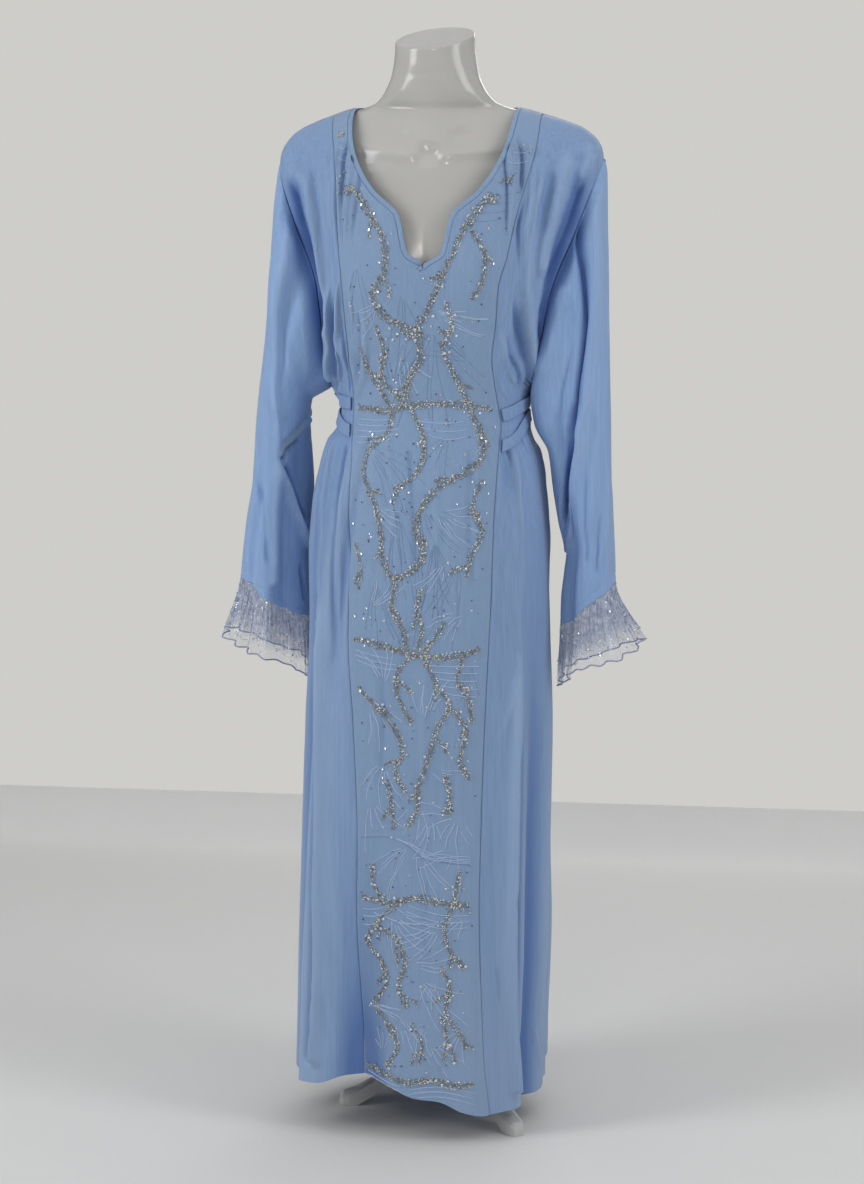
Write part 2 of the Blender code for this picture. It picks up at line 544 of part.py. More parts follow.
def cloth(name, cells, outside, inward, thickness, finish):
    """A closed wall: cells name four corners by key, outside gives each its point, inward its inner point's way.

    Both sides of a cell are cut along the same diagonal, so the wall keeps its thickness where the cell is warped.
    """
    keys = sorted({k for cell in cells for k in cell})
    number = {k: i for i, k in enumerate(keys)}
    count = len(keys)
    points = [outside[k] for k in keys] + [outside[k] - inward[k] * thickness for k in keys]
    faces, edges = [], set()
    for cell in cells:
        corners = [number[k] for k in cell]
        for half in halves(corners, points):
            faces.append(half)
            faces.append([c + count for c in reversed(half)])
        edges.update(zip(corners, corners[1:] + corners[:1]))
    for a, b in sorted(edges):
        if (b, a) not in edges:
            faces.append([b, a, a + count, b + count])
    mesh = bpy.data.meshes.new(name)
    mesh.from_pydata(points, [], faces)
    work = bmesh.new()
    work.from_mesh(mesh)
    bmesh.ops.recalc_face_normals(work, faces=work.faces)
    work.to_mesh(mesh)
    work.free()
    mesh.shade_smooth()
    return add_object(name, mesh, finish)


def grid_cells(rows, columns, closed=False):
    """The cells of a grid whose keys are (row, column)."""
    return [
        ((i, j), (i, (j + 1) % columns if closed else j + 1), (i + 1, (j + 1) % columns if closed else j + 1), (i + 1, j))
        for i in range(rows)
        for j in range(columns)
    ]


def inset(across, columns_width):
    """Draws a panel's edge in by half a seam gap."""
    return across - SEAM_GAP / 2 / columns_width if across >= 1 else across


def front_panel():
    """Centre front, from hem to shoulder, split above the notch into two straps."""
    outside, inward, cells = {}, {}, []
    n = PANEL_COLUMNS
    for i, level in enumerate(LEVELS):
        for side in (-1, 1):
            for j in range(n + 1):
                key = (i, 0, 0) if j == 0 and i <= NOTCH_ROW else (i, side, j)
                across = inset(j / n, 0.1)
                surface = lambda u, v, s=side: panel_point(s, u, v)
                outside[key] = surface(across, level)
                middle = Vector((outside[key].x, 0.03, min(outside[key].z, 1.40)))
                inward[key] = panel_out(surface, side, "", across, level, middle)
    for i in range(len(LEVELS) - 1):
        for side in (-1, 1):
            for j in range(n):
                corner = [(i, side, j), (i, side, j + 1), (i + 1, side, j + 1), (i + 1, side, j)]
                corner = [(k[0], 0, 0) if k[2] == 0 and k[0] <= NOTCH_ROW else k for k in corner]
                cells.append(tuple(corner if side > 0 else reversed(corner)))
    return cloth("front_panel", cells, outside, inward, CLOTH, EMBROIDERED)


def outward(direction, point, middle):
    """direction, turned if needed so that it leaves the middle."""
    return direction if direction.dot(point - middle) >= 0 else -direction


def side_panel(side, name):
    outside, inward = {}, {}
    surface = lambda u, v: side_point(side, u, v)
    for i, level in enumerate(LEVELS):
        for j in range(SIDE_COLUMNS + 1):
            across = j / SIDE_COLUMNS
            across = min(1 - SEAM_GAP / 2 / 0.12, max(SEAM_GAP / 2 / 0.12, across))
            p = surface(across, level)
            outside[(i, j)] = p
            middle = Vector((side * 0.08, 0.02, min(p.z, 1.38)))
            inward[(i, j)] = panel_out(surface, side, "front", across, level, middle)
    return cloth(name, grid_cells(len(LEVELS) - 1, SIDE_COLUMNS), outside, inward, CLOTH, PLAIN_BLUE)


def back_panel(side, name):
    """Half the back, from the centre back seam to the side seam and the armhole."""
    outside, inward = {}, {}
    surface = lambda u, v: back_point(side, u, v)
    for i, level in enumerate(LEVELS):
        for j, across in enumerate(BACK_ACROSS):
            across = min(1 - SEAM_GAP / 2 / 0.26, max(SEAM_GAP / 2 / 0.26, across))
            p = surface(across, level)
            middle = Vector((p.x * 0.5, 0.0, min(p.z, 1.38)))
            outside[(i, j)] = p
            inward[(i, j)] = panel_out(surface, side, "back", across, level, middle)
            if j == 0:
                inward[(i, j)].x = 0
            if level == SHOULDER_Z and abs(p.x) >= NECK_HALF - 0.001:
                p.y += SEAM_GAP
    return cloth(name, grid_cells(len(LEVELS) - 1, len(BACK_ACROSS) - 1), outside, inward, CLOTH, PLAIN_BLUE)


def sleeve(side, name):
    outside, inward = {}, {}
    surface = lambda u, v: sleeve_point(side, u, v)
    places = seam_places()
    for i in range(SLEEVE_ROWS + 1):
        down = (i / SLEEVE_ROWS) ** 1.15
        for j, place in enumerate(places):
            p = surface(place, down)
            middle = Vector((side * 0.215, 0.004, p.z - 0.02))
            outside[(i, j)] = p
            inward[(i, j)] = outward(normal_of(surface, place, max(down, 0.012)), p, middle)
            if i == 0:
                p.x += side * SEAM_GAP
                inward[(i, j)] = armhole_out(side, place, inward[(i, j)])
            elif i == SLEEVE_ROWS:
                inward[(i, j)] = cuff_out(side, place)
    return cloth(name, grid_cells(SLEEVE_ROWS, len(places), True), outside, inward, CLOTH, PLAIN_BLUE)


def ruffle_places():
    """Even places round the cuff, with those of the sleeve's own columns in place of the nearest ones."""
    columns = seam_places()
    even = [j / RUFFLE_COLUMNS for j in range(RUFFLE_COLUMNS)]
    apart = 0.45 / RUFFLE_COLUMNS
    return sorted(columns + [e for e in even if all(abs(e - c) > apart for c in columns + [1.0])])


def ruffle(side, name):
    outside, inward = {}, {}
    surface = lambda u, v: ruffle_point(side, u, v)
    places = ruffle_places()
    for i in range(RUFFLE_ROWS + 1):
        for j, place in enumerate(places):
            down = i / RUFFLE_ROWS
            p = surface(place, down)
            n = normal_of(surface, place, max(down, 0.05))
            outside[(i, j)] = p
            inward[(i, j)] = outward(n, p, Vector((side * 0.222, 0, p.z))) if i else cuff_out(side, place)
    return cloth(name, grid_cells(RUFFLE_ROWS, len(places), True), outside, inward, LACE, LACE_FINISH)


def remove_all_objects():
    for obj in list(bpy.data.objects):
        bpy.data.objects.remove(obj)


def lofted_solid(name, rows, finish):
    """A closed solid through rings of points, capped flat at both ends."""
    mesh = bpy.data.meshes.new(name)
    work = bmesh.new()
    rings = [[work.verts.new(p) for p in row] for row in rows]
    count = len(rows[0])
    for low, high in zip(rings, rings[1:]):
        for j in range(count):
            work.faces.new((low[j], low[(j + 1) % count], high[(j + 1) % count], high[j]))
    work.faces.new(list(reversed(rings[0])))
    work.faces.new(rings[-1])
    bmesh.ops.recalc_face_normals(work, faces=work.faces)
    work.to_mesh(mesh)
    work.free()
    mesh.shade_smooth()
    return add_object(name, mesh, finish)


def form_torso():
    """The dress form: smooth and whole, with its neck cut on a slant."""
    rows = []
    for z in FORM_RINGS["z"]:
        half_width, front, back, centre_y, fullness = (
            along(FORM_RINGS, c, z) for c in ("half_width", "front", "back", "centre_y", "fullness"))
        row = []
        for j in range(24):
            angle = 2 * math.pi * j / 24
            radius = ring_radius(angle, half_width, front, back, fullness)
            x, y = radius * math.sin(angle), centre_y - radius * math.cos(angle)
            if math.cos(angle) > 0:
                y -= 0.8 * bust_out(x, z) * math.cos(angle)
            slant = smooth((z - 1.475) / 0.06)
            row.append(Vector((x, y, z + slant * (NECK_TILT_Y * y + NECK_TILT_X * x))))
        rows.append(row)
    return lofted_solid("form_torso", rows, FORM_WHITE)


def built_point(surface, across, z):
    """A point of a panel as it is built, on the straight piece between two of its levels."""
    i = int(np.searchsorted(LEVELS, z, side="right")) - 1
    t = (z - LEVELS[i]) / (LEVELS[i + 1] - LEVELS[i])
    return surface(across, LEVELS[i]) * (1 - t) + surface(across, LEVELS[i + 1]) * t


def belt(name, heights):
    """A tie sewn to the front panel's seam on both sides and carried round the back, on the body's own points."""
    outside, inward = {}, {}
    around = [(-1, "front", j / SIDE_COLUMNS) for j in range(1, SIDE_COLUMNS)]
    around += [(-1, "back", a) for a in reversed(BACK_ACROSS)] + [(1, "back", a) for a in BACK_ACROSS[1:]]
    around += [(1, "front", j / SIDE_COLUMNS) for j in range(SIDE_COLUMNS - 1, 0, -1)]
    around = [(-1, "front", 0.04)] + around + [(1, "front", 0.04)]
    for j, (side, half, across) in enumerate(around):
        point = side_point if half == "front" else back_point
        surface = lambda u, v, s=side: point(s, u, v)
        from_side = (1 - across) if half == "front" else 0.0
        for i in (0, 1):
            z = along(heights, "left" if side < 0 else "right", from_side, "from_side") + (i - 0.5) * STRAP_WIDTH
            p = built_point(surface, across, z)
            n = outward(normal_of(surface, min(0.99, across), z), p, Vector((0, 0, p.z)))
            n = Vector((n.x, n.y, 0)).normalized()
            outside[(i, j)] = p + n * (STRAP_LIFT + CLOTH)
            inward[(i, j)] = n
    return cloth(name, grid_cells(1, len(around) - 1), outside, inward, CLOTH, PLAIN_BLUE)


def neck_binding():
    """The bound edge of the neck opening: down the front to the notch, and across the back."""
    front = LEVELS[NOTCH_ROW:]
    ring = [(-1, "front", 0.0, level) for level in reversed(front)] + [(1, "front", 0.0, level) for level in front[1:]]
    back = BACK_ACROSS[:BACK_ACROSS.index(NECK_HALF / SHOULDER_HALF)]
    ring += [(1, "back", across, SHOULDER_Z) for across in reversed(back)]
    ring += [(-1, "back", across, SHOULDER_Z) for across in back[1:]]
    points = []
    for side, half, across, level in ring:
        point = panel_point if half == "front" else back_point
        surface = lambda u, v, s=side: point(s, u, v)
        p = surface(across, level)
        middle = Vector((p.x, 0.03, 1.38)) if half == "front" else Vector((p.x * 0.5, 0, 1.38))
        points.append((p, panel_out(surface, side, "", across, level, middle)))
    outside, inward = {}, {}
    count = len(points)
    for j, (p, n) in enumerate(points):
        before = (p - points[j - 1][0]).normalized()
        after = (points[(j + 1) % count][0] - p).normalized()
        away = outward((before + after).cross(n).normalized(), p, NECK_HOLE_CENTRE)
        mitre = 1 / max(0.6, (before + after).length / 2)
        for i, reach in enumerate((SEAM_GAP, BINDING_WIDTH)):
            outside[(i, j)] = p - away * reach * mitre
            inward[(i, j)] = n
    return cloth("neck_binding", grid_cells(1, count, True), outside, inward, CLOTH, PLAIN_BLUE)


def turned(name, profile, centre, segments, finish):
    """A solid of revolution about a vertical line; profile is (radius, height) from bottom to top."""
    rows = []
    for radius, z in profile:
        row = [2 * math.pi * j / segments for j in range(segments)]
        rows.append([Vector((centre[0] + radius * math.sin(a), centre[1] - radius * math.cos(a), z)) for a in row])
    return lofted_solid(name, rows, finish)


LEG_SECTIONS = {
    "reach": (0.0266, 0.050, 0.090, 0.125, 0.148, 0.160, 0.169, 0.1735, 0.175),
    "top": (0.124, 0.110, 0.072, 0.039, 0.0245, 0.0205, 0.018, 0.014, 0.009),
    "bottom": (0.100, 0.084, 0.046, 0.014, 0.0, 0.0, 0.0, 0.0, 0.0),
    "half_width": (0.0085, 0.0095, 0.0110, 0.0125, 0.0135, 0.0135, 0.0115, 0.0085, 0.0060),
}


def leg(name, degrees):
    """A sloping leg of the stand, ending in a foot with a flat underside."""
    way = Vector((math.cos(math.radians(degrees)), math.sin(math.radians(degrees)), 0))
    aside = Vector((-way.y, way.x, 0))
    rows = []
    for reach, top, bottom, half in zip(*(LEG_SECTIONS[c] for c in ("reach", "top", "bottom", "half_width"))):
        middle = Vector((STAND_CENTRE[0], STAND_CENTRE[1], 0)) + way * reach * LEG_REACH / 0.175
        bevel = min(0.004, (top - bottom) / 3)
        corners = ((half, bottom), (half, top - bevel), (half * 0.62, top), (-half * 0.62, top), (-half, top - bevel), (-half, bottom))
        rows.append([middle + aside * a + Vector((0, 0, z)) for a, z in corners])
    return lofted_solid(name, rows, STAND_GREY)


def centre_on_origin():
    """Moves everything so that the middle of the whole, seen from above, is at x = y = 0."""
    corners = [v.co for obj in PARTS.objects for v in obj.data.vertices]
    shift = [-(min(c[k] for c in corners) + max(c[k] for c in corners)) / 2 for k in (0, 1)]
    for obj in PARTS.objects:
        for v in obj.data.vertices:
            v.co.x += shift[0]
            v.co.y += shift[1]
    print("moved by", [round(d, 5) for d in shift])


remove_all_objects()
PARTS = bpy.data.collections.new("robe_on_dress_form")
bpy.context.scene.collection.children.link(PARTS)
PLAIN_BLUE = material("plain_blue", (0.20, 0.36, 0.70), 0.65)
EMBROIDERED = material("embroidered_blue", (0.22, 0.36, 0.66), 0.6)
LACE_FINISH = material("lace", (0.45, 0.50, 0.68), 0.7)
FORM_WHITE = material("gloss_white", (0.8, 0.8, 0.78), 0.15)
STAND_GREY = material("stand_grey", (0.6, 0.6, 0.6), 0.3)

front_panel()
side_panel(-1, "side_front_left")
side_panel(1, "side_front_right")
back_panel(-1, "back_left")
back_panel(1, "back_right")
sleeve(-1, "sleeve_left")
sleeve(1, "sleeve_right")
ruffle(-1, "ruffle_left")
ruffle(1, "ruffle_right")
belt("belt_upper", BELT_UPPER)
belt("belt_lower", BELT_LOWER)
neck_binding()
form_torso()
turned("pole", ((POLE_RADIUS, HUB_HIGH + SEAM_GAP), (POLE_RADIUS, FORM_BASE_Z - SEAM_GAP)), STAND_CENTRE, 20, STAND_GREY)
turned("hub", HUB_PROFILE, STAND_CENTRE, 24, STAND_GREY)
for number, degrees in enumerate(LEG_ANGLES, 1):
    leg(f"leg_{number}", degrees)
centre_on_origin()
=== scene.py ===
"""Looks of the long blue robe on its limbless dress form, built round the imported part.

Metres, +Z up, front towards -Y. Each cloth piece is a fine thin shell on the surface its solid has,
with the small folds, seams and trimming that the solid leaves out.
"""

import functools
import math
import random

import bmesh
import bpy
import numpy as np
from mathutils import Matrix, Vector, noise
from mathutils.bvhtree import BVHTree


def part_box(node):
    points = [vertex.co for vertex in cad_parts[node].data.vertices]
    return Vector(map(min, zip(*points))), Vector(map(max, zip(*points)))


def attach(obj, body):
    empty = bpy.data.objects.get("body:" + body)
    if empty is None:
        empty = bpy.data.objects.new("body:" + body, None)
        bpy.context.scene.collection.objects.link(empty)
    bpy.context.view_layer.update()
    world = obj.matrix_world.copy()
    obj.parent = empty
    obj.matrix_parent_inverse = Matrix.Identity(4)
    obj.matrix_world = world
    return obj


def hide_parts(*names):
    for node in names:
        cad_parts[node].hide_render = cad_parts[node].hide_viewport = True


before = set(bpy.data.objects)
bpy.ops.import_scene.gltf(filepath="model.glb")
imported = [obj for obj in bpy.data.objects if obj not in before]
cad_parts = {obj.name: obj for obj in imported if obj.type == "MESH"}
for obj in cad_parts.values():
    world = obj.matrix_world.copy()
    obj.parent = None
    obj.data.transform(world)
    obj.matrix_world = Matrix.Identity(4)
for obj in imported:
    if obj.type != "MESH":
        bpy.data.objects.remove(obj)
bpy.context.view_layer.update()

# The robe's own sizes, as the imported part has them
CLOTH = 0.0012
HEM_LEVEL = 0.05
HEM_WARP_TOP = 0.32
UNDERARM_Z = 1.06
SHOULDER_Z = 1.444
SHOULDER_ROUND = 0.15
RIDGE_Y = 0.012
NECK_HALF = 0.120
PANEL_TOP_HALF = 0.147
SHOULDER_HALF = 0.230
TIP_SHIFT = 0.006
NOTCH_LEVEL = 1.2226
BACK_NECK_Z = 1.430
RUFFLE_LENGTH = 0.084
RUFFLE_WAVES = 14
STRAP_WIDTH = 0.018
NECK_HOLE_CENTRE = Vector((0.0, -0.06, 1.38))
STRAP_LIFT = 0.0012
STAND_CENTRE = (0.028, 0.030)

# Body of the robe, a value for each height: the ring's middle, half width, and depth before and behind.
BODY_RINGS = {
    "z": (0.02, 0.12, 0.265, 0.45, 0.577, 0.72, 0.82, 0.90, 0.955, 0.985, 1.005, 1.04, 1.07, 1.12, 1.20,
          1.28, 1.34, 1.46),
    "centre_x": (-0.0255, -0.024, -0.019, -0.014, -0.0105, -0.0088, -0.010, -0.0103, -0.0077, -0.0075,
                 -0.0035, -0.002, -0.001, 0.0, 0.001, 0.002, 0.004, 0.006),
    "half_width": (0.1745, 0.174, 0.1765, 0.1765, 0.1758, 0.1708, 0.170, 0.1645, 0.156, 0.147, 0.137,
                   0.132, 0.136, 0.148, 0.165, 0.183, 0.201, 0.236),
    "front": (0.166, 0.163, 0.159, 0.153, 0.149, 0.142, 0.136, 0.127, 0.117, 0.110, 0.105, 0.099, 0.101,
              0.108, 0.115, 0.113, 0.110, 0.106),
    "back": (0.168, 0.164, 0.158, 0.151, 0.147, 0.143, 0.139, 0.133, 0.117, 0.104, 0.094, 0.084, 0.086,
             0.093, 0.101, 0.102, 0.101, 0.098),
}
ROUNDNESS = 2.25

# Seams of the centre front panel: its left and right edge as seen from the front.
PANEL_SEAMS = {
    "z": (0.02, 0.128, 0.212, 0.324, 0.436, 0.594, 0.717, 0.779, 0.872, 0.953, 1.0, 1.044, 1.10, 1.15,
          1.207, 1.244, 1.294, 1.337, 1.39, 1.444),
    "left_x": (-0.0912, -0.0889, -0.0908, -0.0938, -0.0922, -0.0985, -0.1062, -0.1053, -0.1084, -0.1049,
               -0.109, -0.1085, -0.1118, -0.1157, -0.1201, -0.1239, -0.1271, -0.1285, -0.1300, -0.135),
    "right_x": (0.0938, 0.0845, 0.0823, 0.080, 0.0823, 0.087, 0.092, 0.0945, 0.0963, 0.0994, 0.1033,
                0.0969, 0.0905, 0.0966, 0.102, 0.1124, 0.1226, 0.1334, 0.1464, 0.153),
}

# Front neckline, half of it, where the panel meets its binding: a scoop, a step, and a notch at the middle.
NECKLINE = {
    "z": (1.226, 1.248, 1.268, 1.291, 1.304, 1.3128, 1.330, 1.3565, 1.390, 1.419, 1.452),
    "x": (0.0, 0.0285, 0.0343, 0.0393, 0.0441, 0.0537, 0.0742, 0.0931, 0.1077, 0.1149, 0.120),
}

# Top of the shoulder, from the neck opening to the tip.
SHOULDER_LINE = {
    "x": (0.0, 0.113, 0.147, 0.176, 0.200, 0.216, 0.226, 0.230),
    "z": (1.455, 1.452, 1.443, 1.433, 1.423, 1.411, 1.396, 1.380),
}

# Armhole seam, from the underarm to the shoulder tip.
ARMHOLE = {
    "z": (1.060, 1.075, 1.120, 1.200, 1.280, 1.330, 1.358, 1.374, 1.380),
    "left_x": (0.152, 0.155, 0.158, 0.167, 0.196, 0.215, 0.225, 0.229, 0.230),
    "right_x": (0.136, 0.141, 0.151, 0.166, 0.196, 0.215, 0.225, 0.229, 0.230),
    "front_y": (0.005, -0.030, -0.050, -0.062, -0.060, -0.046, -0.026, -0.006, 0.012),
    "back_y": (0.005, 0.040, 0.055, 0.062, 0.062, 0.056, 0.042, 0.028, 0.012),
}

# Hem height round the robe, by angle from the front (positive to the wearer's left).
HEM = {
    "angle": (-180, -120, -95, -72, -58, -44, -31, -20, -8, 5, 18, 29, 40, 52, 66, 80, 100, 130, 180),
    "z": (0.055, 0.060, 0.066, 0.058, 0.066, 0.072, 0.088, 0.092, 0.084, 0.068, 0.062, 0.046, 0.038,
          0.040, 0.041, 0.040, 0.043, 0.048, 0.055),
}

# Folds of the body: angle at the belt, the hip and the hem (degrees), the heights where the fold ends,
# its height out of the cloth at top, middle and bottom (metres), and its reach to each side (degrees).
FOLD_COLUMNS = (
    "waist_angle", "hip_angle", "hem_angle", "top_z", "end_z", "top_out", "mid_out", "end_out",
    "left", "right",
)
BODY_FOLDS = (
    (-42, -56, -57, 0.985, 0.00, 0.003, 0.008, 0.013, 9, 26),
    (-58, -69, -71, 0.985, 0.00, -0.002, -0.012, -0.022, 12, 12),
    (-74, -86, -90, 0.985, 0.00, 0.002, 0.004, 0.009, 14, 14),
    (-37, -45, -46, 0.985, 0.55, -0.004, -0.007, 0.0, 7, 5),
    (-30, -30, -22, 0.50, 0.00, 0.0, -0.004, -0.022, 18, 20),
    (8, 8, 8, 0.55, 0.00, 0.0, 0.002, 0.006, 22, 22),
    (28, 28, 33, 0.60, 0.00, 0.0, 0.003, 0.012, 20, 14),
    (46, 54, 56, 0.78, 0.00, 0.0, 0.006, 0.013, 22, 11),
    (58, 67, 70, 0.85, 0.00, 0.0, -0.010, -0.017, 11, 13),
    (74, 86, 91, 0.985, 0.00, 0.002, 0.004, 0.007, 14, 14),
    (56, 58, 58, 0.99, 0.90, -0.003, -0.004, 0.0, 6, 6),
    (118, 112, 108, 0.985, 0.00, 0.003, 0.006, 0.012, 12, 14),
    (130, 128, 126, 0.985, 0.00, -0.003, -0.007, -0.014, 10, 10),
    (146, 146, 145, 0.985, 0.00, 0.003, 0.007, 0.013, 13, 10),
    (164, 164, 163, 0.985, 0.00, -0.003, -0.006, -0.012, 10, 11),
    (181, 180, 180, 0.985, 0.00, 0.002, 0.006, 0.012, 13, 13),
    (197, 198, 199, 0.985, 0.00, -0.003, -0.007, -0.013, 10, 10),
    (214, 216, 217, 0.985, 0.00, 0.003, 0.007, 0.012, 12, 12),
    (231, 234, 236, 0.985, 0.00, -0.002, -0.006, -0.013, 10, 10),
    (245, 250, 253, 0.985, 0.00, 0.002, 0.005, 0.010, 12, 12),
)
# Folds above the belt, bloused over it: angle, heights, depth and reach.
BLOUSE_COLUMNS = ("angle", "top_angle", "low_z", "high_z", "out", "left", "right")
BLOUSE_FOLDS = (
    (-61, -58, 1.065, 1.25, 0.006, 6, 6),
    (-54, -48, 1.065, 1.24, -0.006, 5, 5),
    (53, 50, 1.065, 1.22, 0.005, 6, 6),
    (61, 60, 1.065, 1.22, -0.005, 6, 6),
    (125, 122, 1.065, 1.30, 0.006, 9, 9),
    (142, 138, 1.065, 1.30, -0.006, 9, 9),
    (160, 156, 1.065, 1.34, 0.006, 10, 10),
    (180, 180, 1.065, 1.34, -0.006, 11, 11),
    (200, 204, 1.065, 1.34, 0.006, 10, 10),
    (218, 222, 1.065, 1.30, -0.006, 9, 9),
    (235, 238, 1.065, 1.30, 0.006, 9, 9),
)
FOLD_FADE = 0.03
BUST_X, BUST_Z, BUST_OUT = 0.074, 1.225, 0.016

# Sleeves, one row for each height: inner and outer edge (distance from the middle), front and back.
RIGHT_SLEEVE = {
    "z": (0.70, 0.76, 0.80, 0.83, 0.87, 0.92, 0.97, 1.01, 1.05, 1.12, 1.20, 1.30, 1.36, 1.41),
    "inner": (0.179, 0.180, 0.184, 0.187, 0.179, 0.171, 0.164, 0.143, 0.136, 0.150, 0.166, 0.180, 0.190,
              0.195),
    "outer": (0.260, 0.257, 0.255, 0.254, 0.2525, 0.2505, 0.2495, 0.249, 0.248, 0.246, 0.244, 0.242,
              0.241, 0.230),
    "front": (-0.043, -0.043, -0.044, -0.045, -0.047, -0.049, -0.051, -0.053, -0.056, -0.061, -0.066,
              -0.060, -0.045, -0.010),
    "back": (0.047, 0.047, 0.048, 0.049, 0.051, 0.053, 0.056, 0.059, 0.062, 0.066, 0.070, 0.066, 0.055,
             0.034),
}
LEFT_SLEEVE = {
    "z": (0.70, 0.77, 0.82, 0.87, 0.92, 0.97, 1.01, 1.05, 1.10, 1.18, 1.25, 1.31, 1.36, 1.41),
    "inner": (0.191, 0.191, 0.190, 0.186, 0.182, 0.184, 0.186, 0.180, 0.164, 0.166, 0.172, 0.180, 0.186,
              0.190),
    "outer": (0.297, 0.292, 0.287, 0.280, 0.271, 0.266, 0.262, 0.257, 0.250, 0.241, 0.2365, 0.2325,
              0.227, 0.219),
    "front": (-0.018, -0.019, -0.022, -0.026, -0.032, -0.040, -0.047, -0.054, -0.060, -0.066, -0.066,
              -0.060, -0.045, -0.010),
    "back": (0.078, 0.078, 0.078, 0.076, 0.074, 0.072, 0.070, 0.068, 0.067, 0.068, 0.070, 0.064, 0.055,
             0.034),
}
# Long folds of the sleeves: place round the ring (0 underarm, 0.25 front, 0.5 outer) at top and bottom,
# heights, depth and reach.
SLEEVE_FOLD_COLUMNS = ("top_place", "end_place", "top_z", "end_z", "out", "reach")
RIGHT_SLEEVE_FOLDS = (
    (0.34, 0.12, 1.37, 0.80, -0.016, 0.085),
    (0.22, 0.02, 1.26, 0.90, 0.005, 0.08),
    (0.44, 0.36, 1.34, 0.72, 0.004, 0.08),
    (0.66, 0.70, 1.32, 0.72, -0.014, 0.07),
    (0.82, 0.86, 1.24, 0.72, 0.006, 0.08),
)
LEFT_SLEEVE_FOLDS = (
    (0.37, 0.24, 1.34, 0.72, 0.013, 0.075),
    (0.26, 0.36, 1.30, 0.72, -0.008, 0.07),
    (0.62, 0.66, 1.32, 0.72, -0.013, 0.07),
    (0.78, 0.82, 1.24, 0.72, 0.006, 0.08),
)
ELBOW_DENT = {"place": 0.10, "reach": 0.14, "z": 0.940, "half_height": 0.095, "depth": 0.017}
CUFF_INNER_Z, CUFF_OUTER_Z = 0.724, 0.782

# The two ties on each side: their height from the side seam (0) to the front panel's seam (1).
BELT_UPPER = {"from_side": (0.0, 0.4, 1.0), "left": (1.041, 1.041, 1.040), "right": (1.041, 1.037, 1.026)}
BELT_LOWER = {"from_side": (0.0, 0.4, 1.0), "left": (1.021, 1.016, 1.003), "right": (1.021, 1.011, 0.984)}

# Dress form, one row for each height: half width, depth before and behind, and how full the corners are.
FORM_RINGS = {
    "z": (0.800, 0.815, 0.850, 0.900, 0.955, 1.000, 1.045, 1.100, 1.160, 1.220, 1.280, 1.330, 1.360,
          1.385, 1.403, 1.417, 1.4312, 1.4414, 1.4470, 1.4510, 1.459, 1.476, 1.497, 1.550),
    "half_width": (0.118, 0.134, 0.143, 0.144, 0.136, 0.124, 0.118, 0.124, 0.131, 0.138, 0.150, 0.172,
                   0.190, 0.199, 0.200, 0.191, 0.171, 0.146, 0.123, 0.103, 0.084, 0.070, 0.0615, 0.0555),
    "front": (0.078, 0.094, 0.103, 0.103, 0.097, 0.089, 0.084, 0.090, 0.099, 0.104, 0.100, 0.096, 0.094,
              0.088, 0.082, 0.075, 0.068, 0.062, 0.057, 0.053, 0.050, 0.048, 0.048, 0.052),
    "back": (0.080, 0.098, 0.108, 0.108, 0.090, 0.074, 0.064, 0.068, 0.076, 0.080, 0.079, 0.070, 0.061,
             0.053, 0.047, 0.043, 0.039, 0.035, 0.034, 0.036, 0.042, 0.049, 0.052, 0.054),
    "centre_y": (0.0, 0.0, 0.0, 0.0, 0.0, 0.0, 0.0, 0.0, 0.0, 0.0, 0.0, 0.004, 0.009, 0.012, 0.012,
                 0.012, 0.012, 0.012, 0.010, 0.007, 0.000, -0.008, -0.012, -0.014),
    "fullness": (2.2, 2.2, 2.2, 2.2, 2.2, 2.2, 2.2, 2.2, 2.2, 2.2, 2.2, 2.1, 1.9, 1.75, 1.6, 1.5, 1.4,
                 1.35, 1.35, 1.4, 1.7, 2.0, 2.0, 2.0),
}
NECK_TILT_Y, NECK_TILT_X = 0.30, 0.08


def smooth(t):
    """0 to 1 with level ends."""
    t = np.clip(t, 0.0, 1.0)
    return t * t * (3 - 2 * t)


@functools.lru_cache(None)
def prepared(x, y):
    """A table's column as arrays, with the slope that its curve has at each row."""
    x, y = np.array(x, float), np.array(y, float)
    step = np.diff(y) / np.diff(x)
    before, after = step[:-1], step[1:]
    bends = before * after > 0
    inner = np.where(bends, 2 * before * after / np.where(bends, before + after, 1), 0.0)
    return x, y, np.concatenate(([0.0], inner, [0.0]))


def along(table, column, at, key="z"):
    """Reads a column of a table at values of its key, on a curve that never overshoots its rows."""
    x, y, slope = prepared(tuple(table[key]), tuple(table[column]))
    at = np.clip(at, x[0], x[-1])
    i = np.clip(np.searchsorted(x, at, side="right") - 1, 0, len(x) - 2)
    width = x[i + 1] - x[i]
    t = (at - x[i]) / width
    return (
        y[i] * (1 + 2 * t) * (1 - t) ** 2 + slope[i] * width * t * (1 - t) ** 2
        + y[i + 1] * t * t * (3 - 2 * t) + slope[i + 1] * width * t * t * (t - 1)
    )


def ring_radius(angle, half_width, front, back, fullness):
    """Distance from the middle of a rounded section to its edge. Angle 0 is the front."""
    across, depth = np.abs(np.sin(angle)), np.cos(angle)
    reach = np.where(depth >= 0, front, back)
    return ((across / half_width) ** fullness + (np.abs(depth) / reach) ** fullness) ** (-1 / fullness)


def wrap(degrees):
    """An angle brought to between -180 and 180."""
    return (degrees + 180) % 360 - 180


def ridge(offset, left, right):
    """A soft rise that is 1 at offset 0 and ends at -left and right."""
    return 1 - smooth(np.abs(offset) / np.where(offset < 0, left, right))


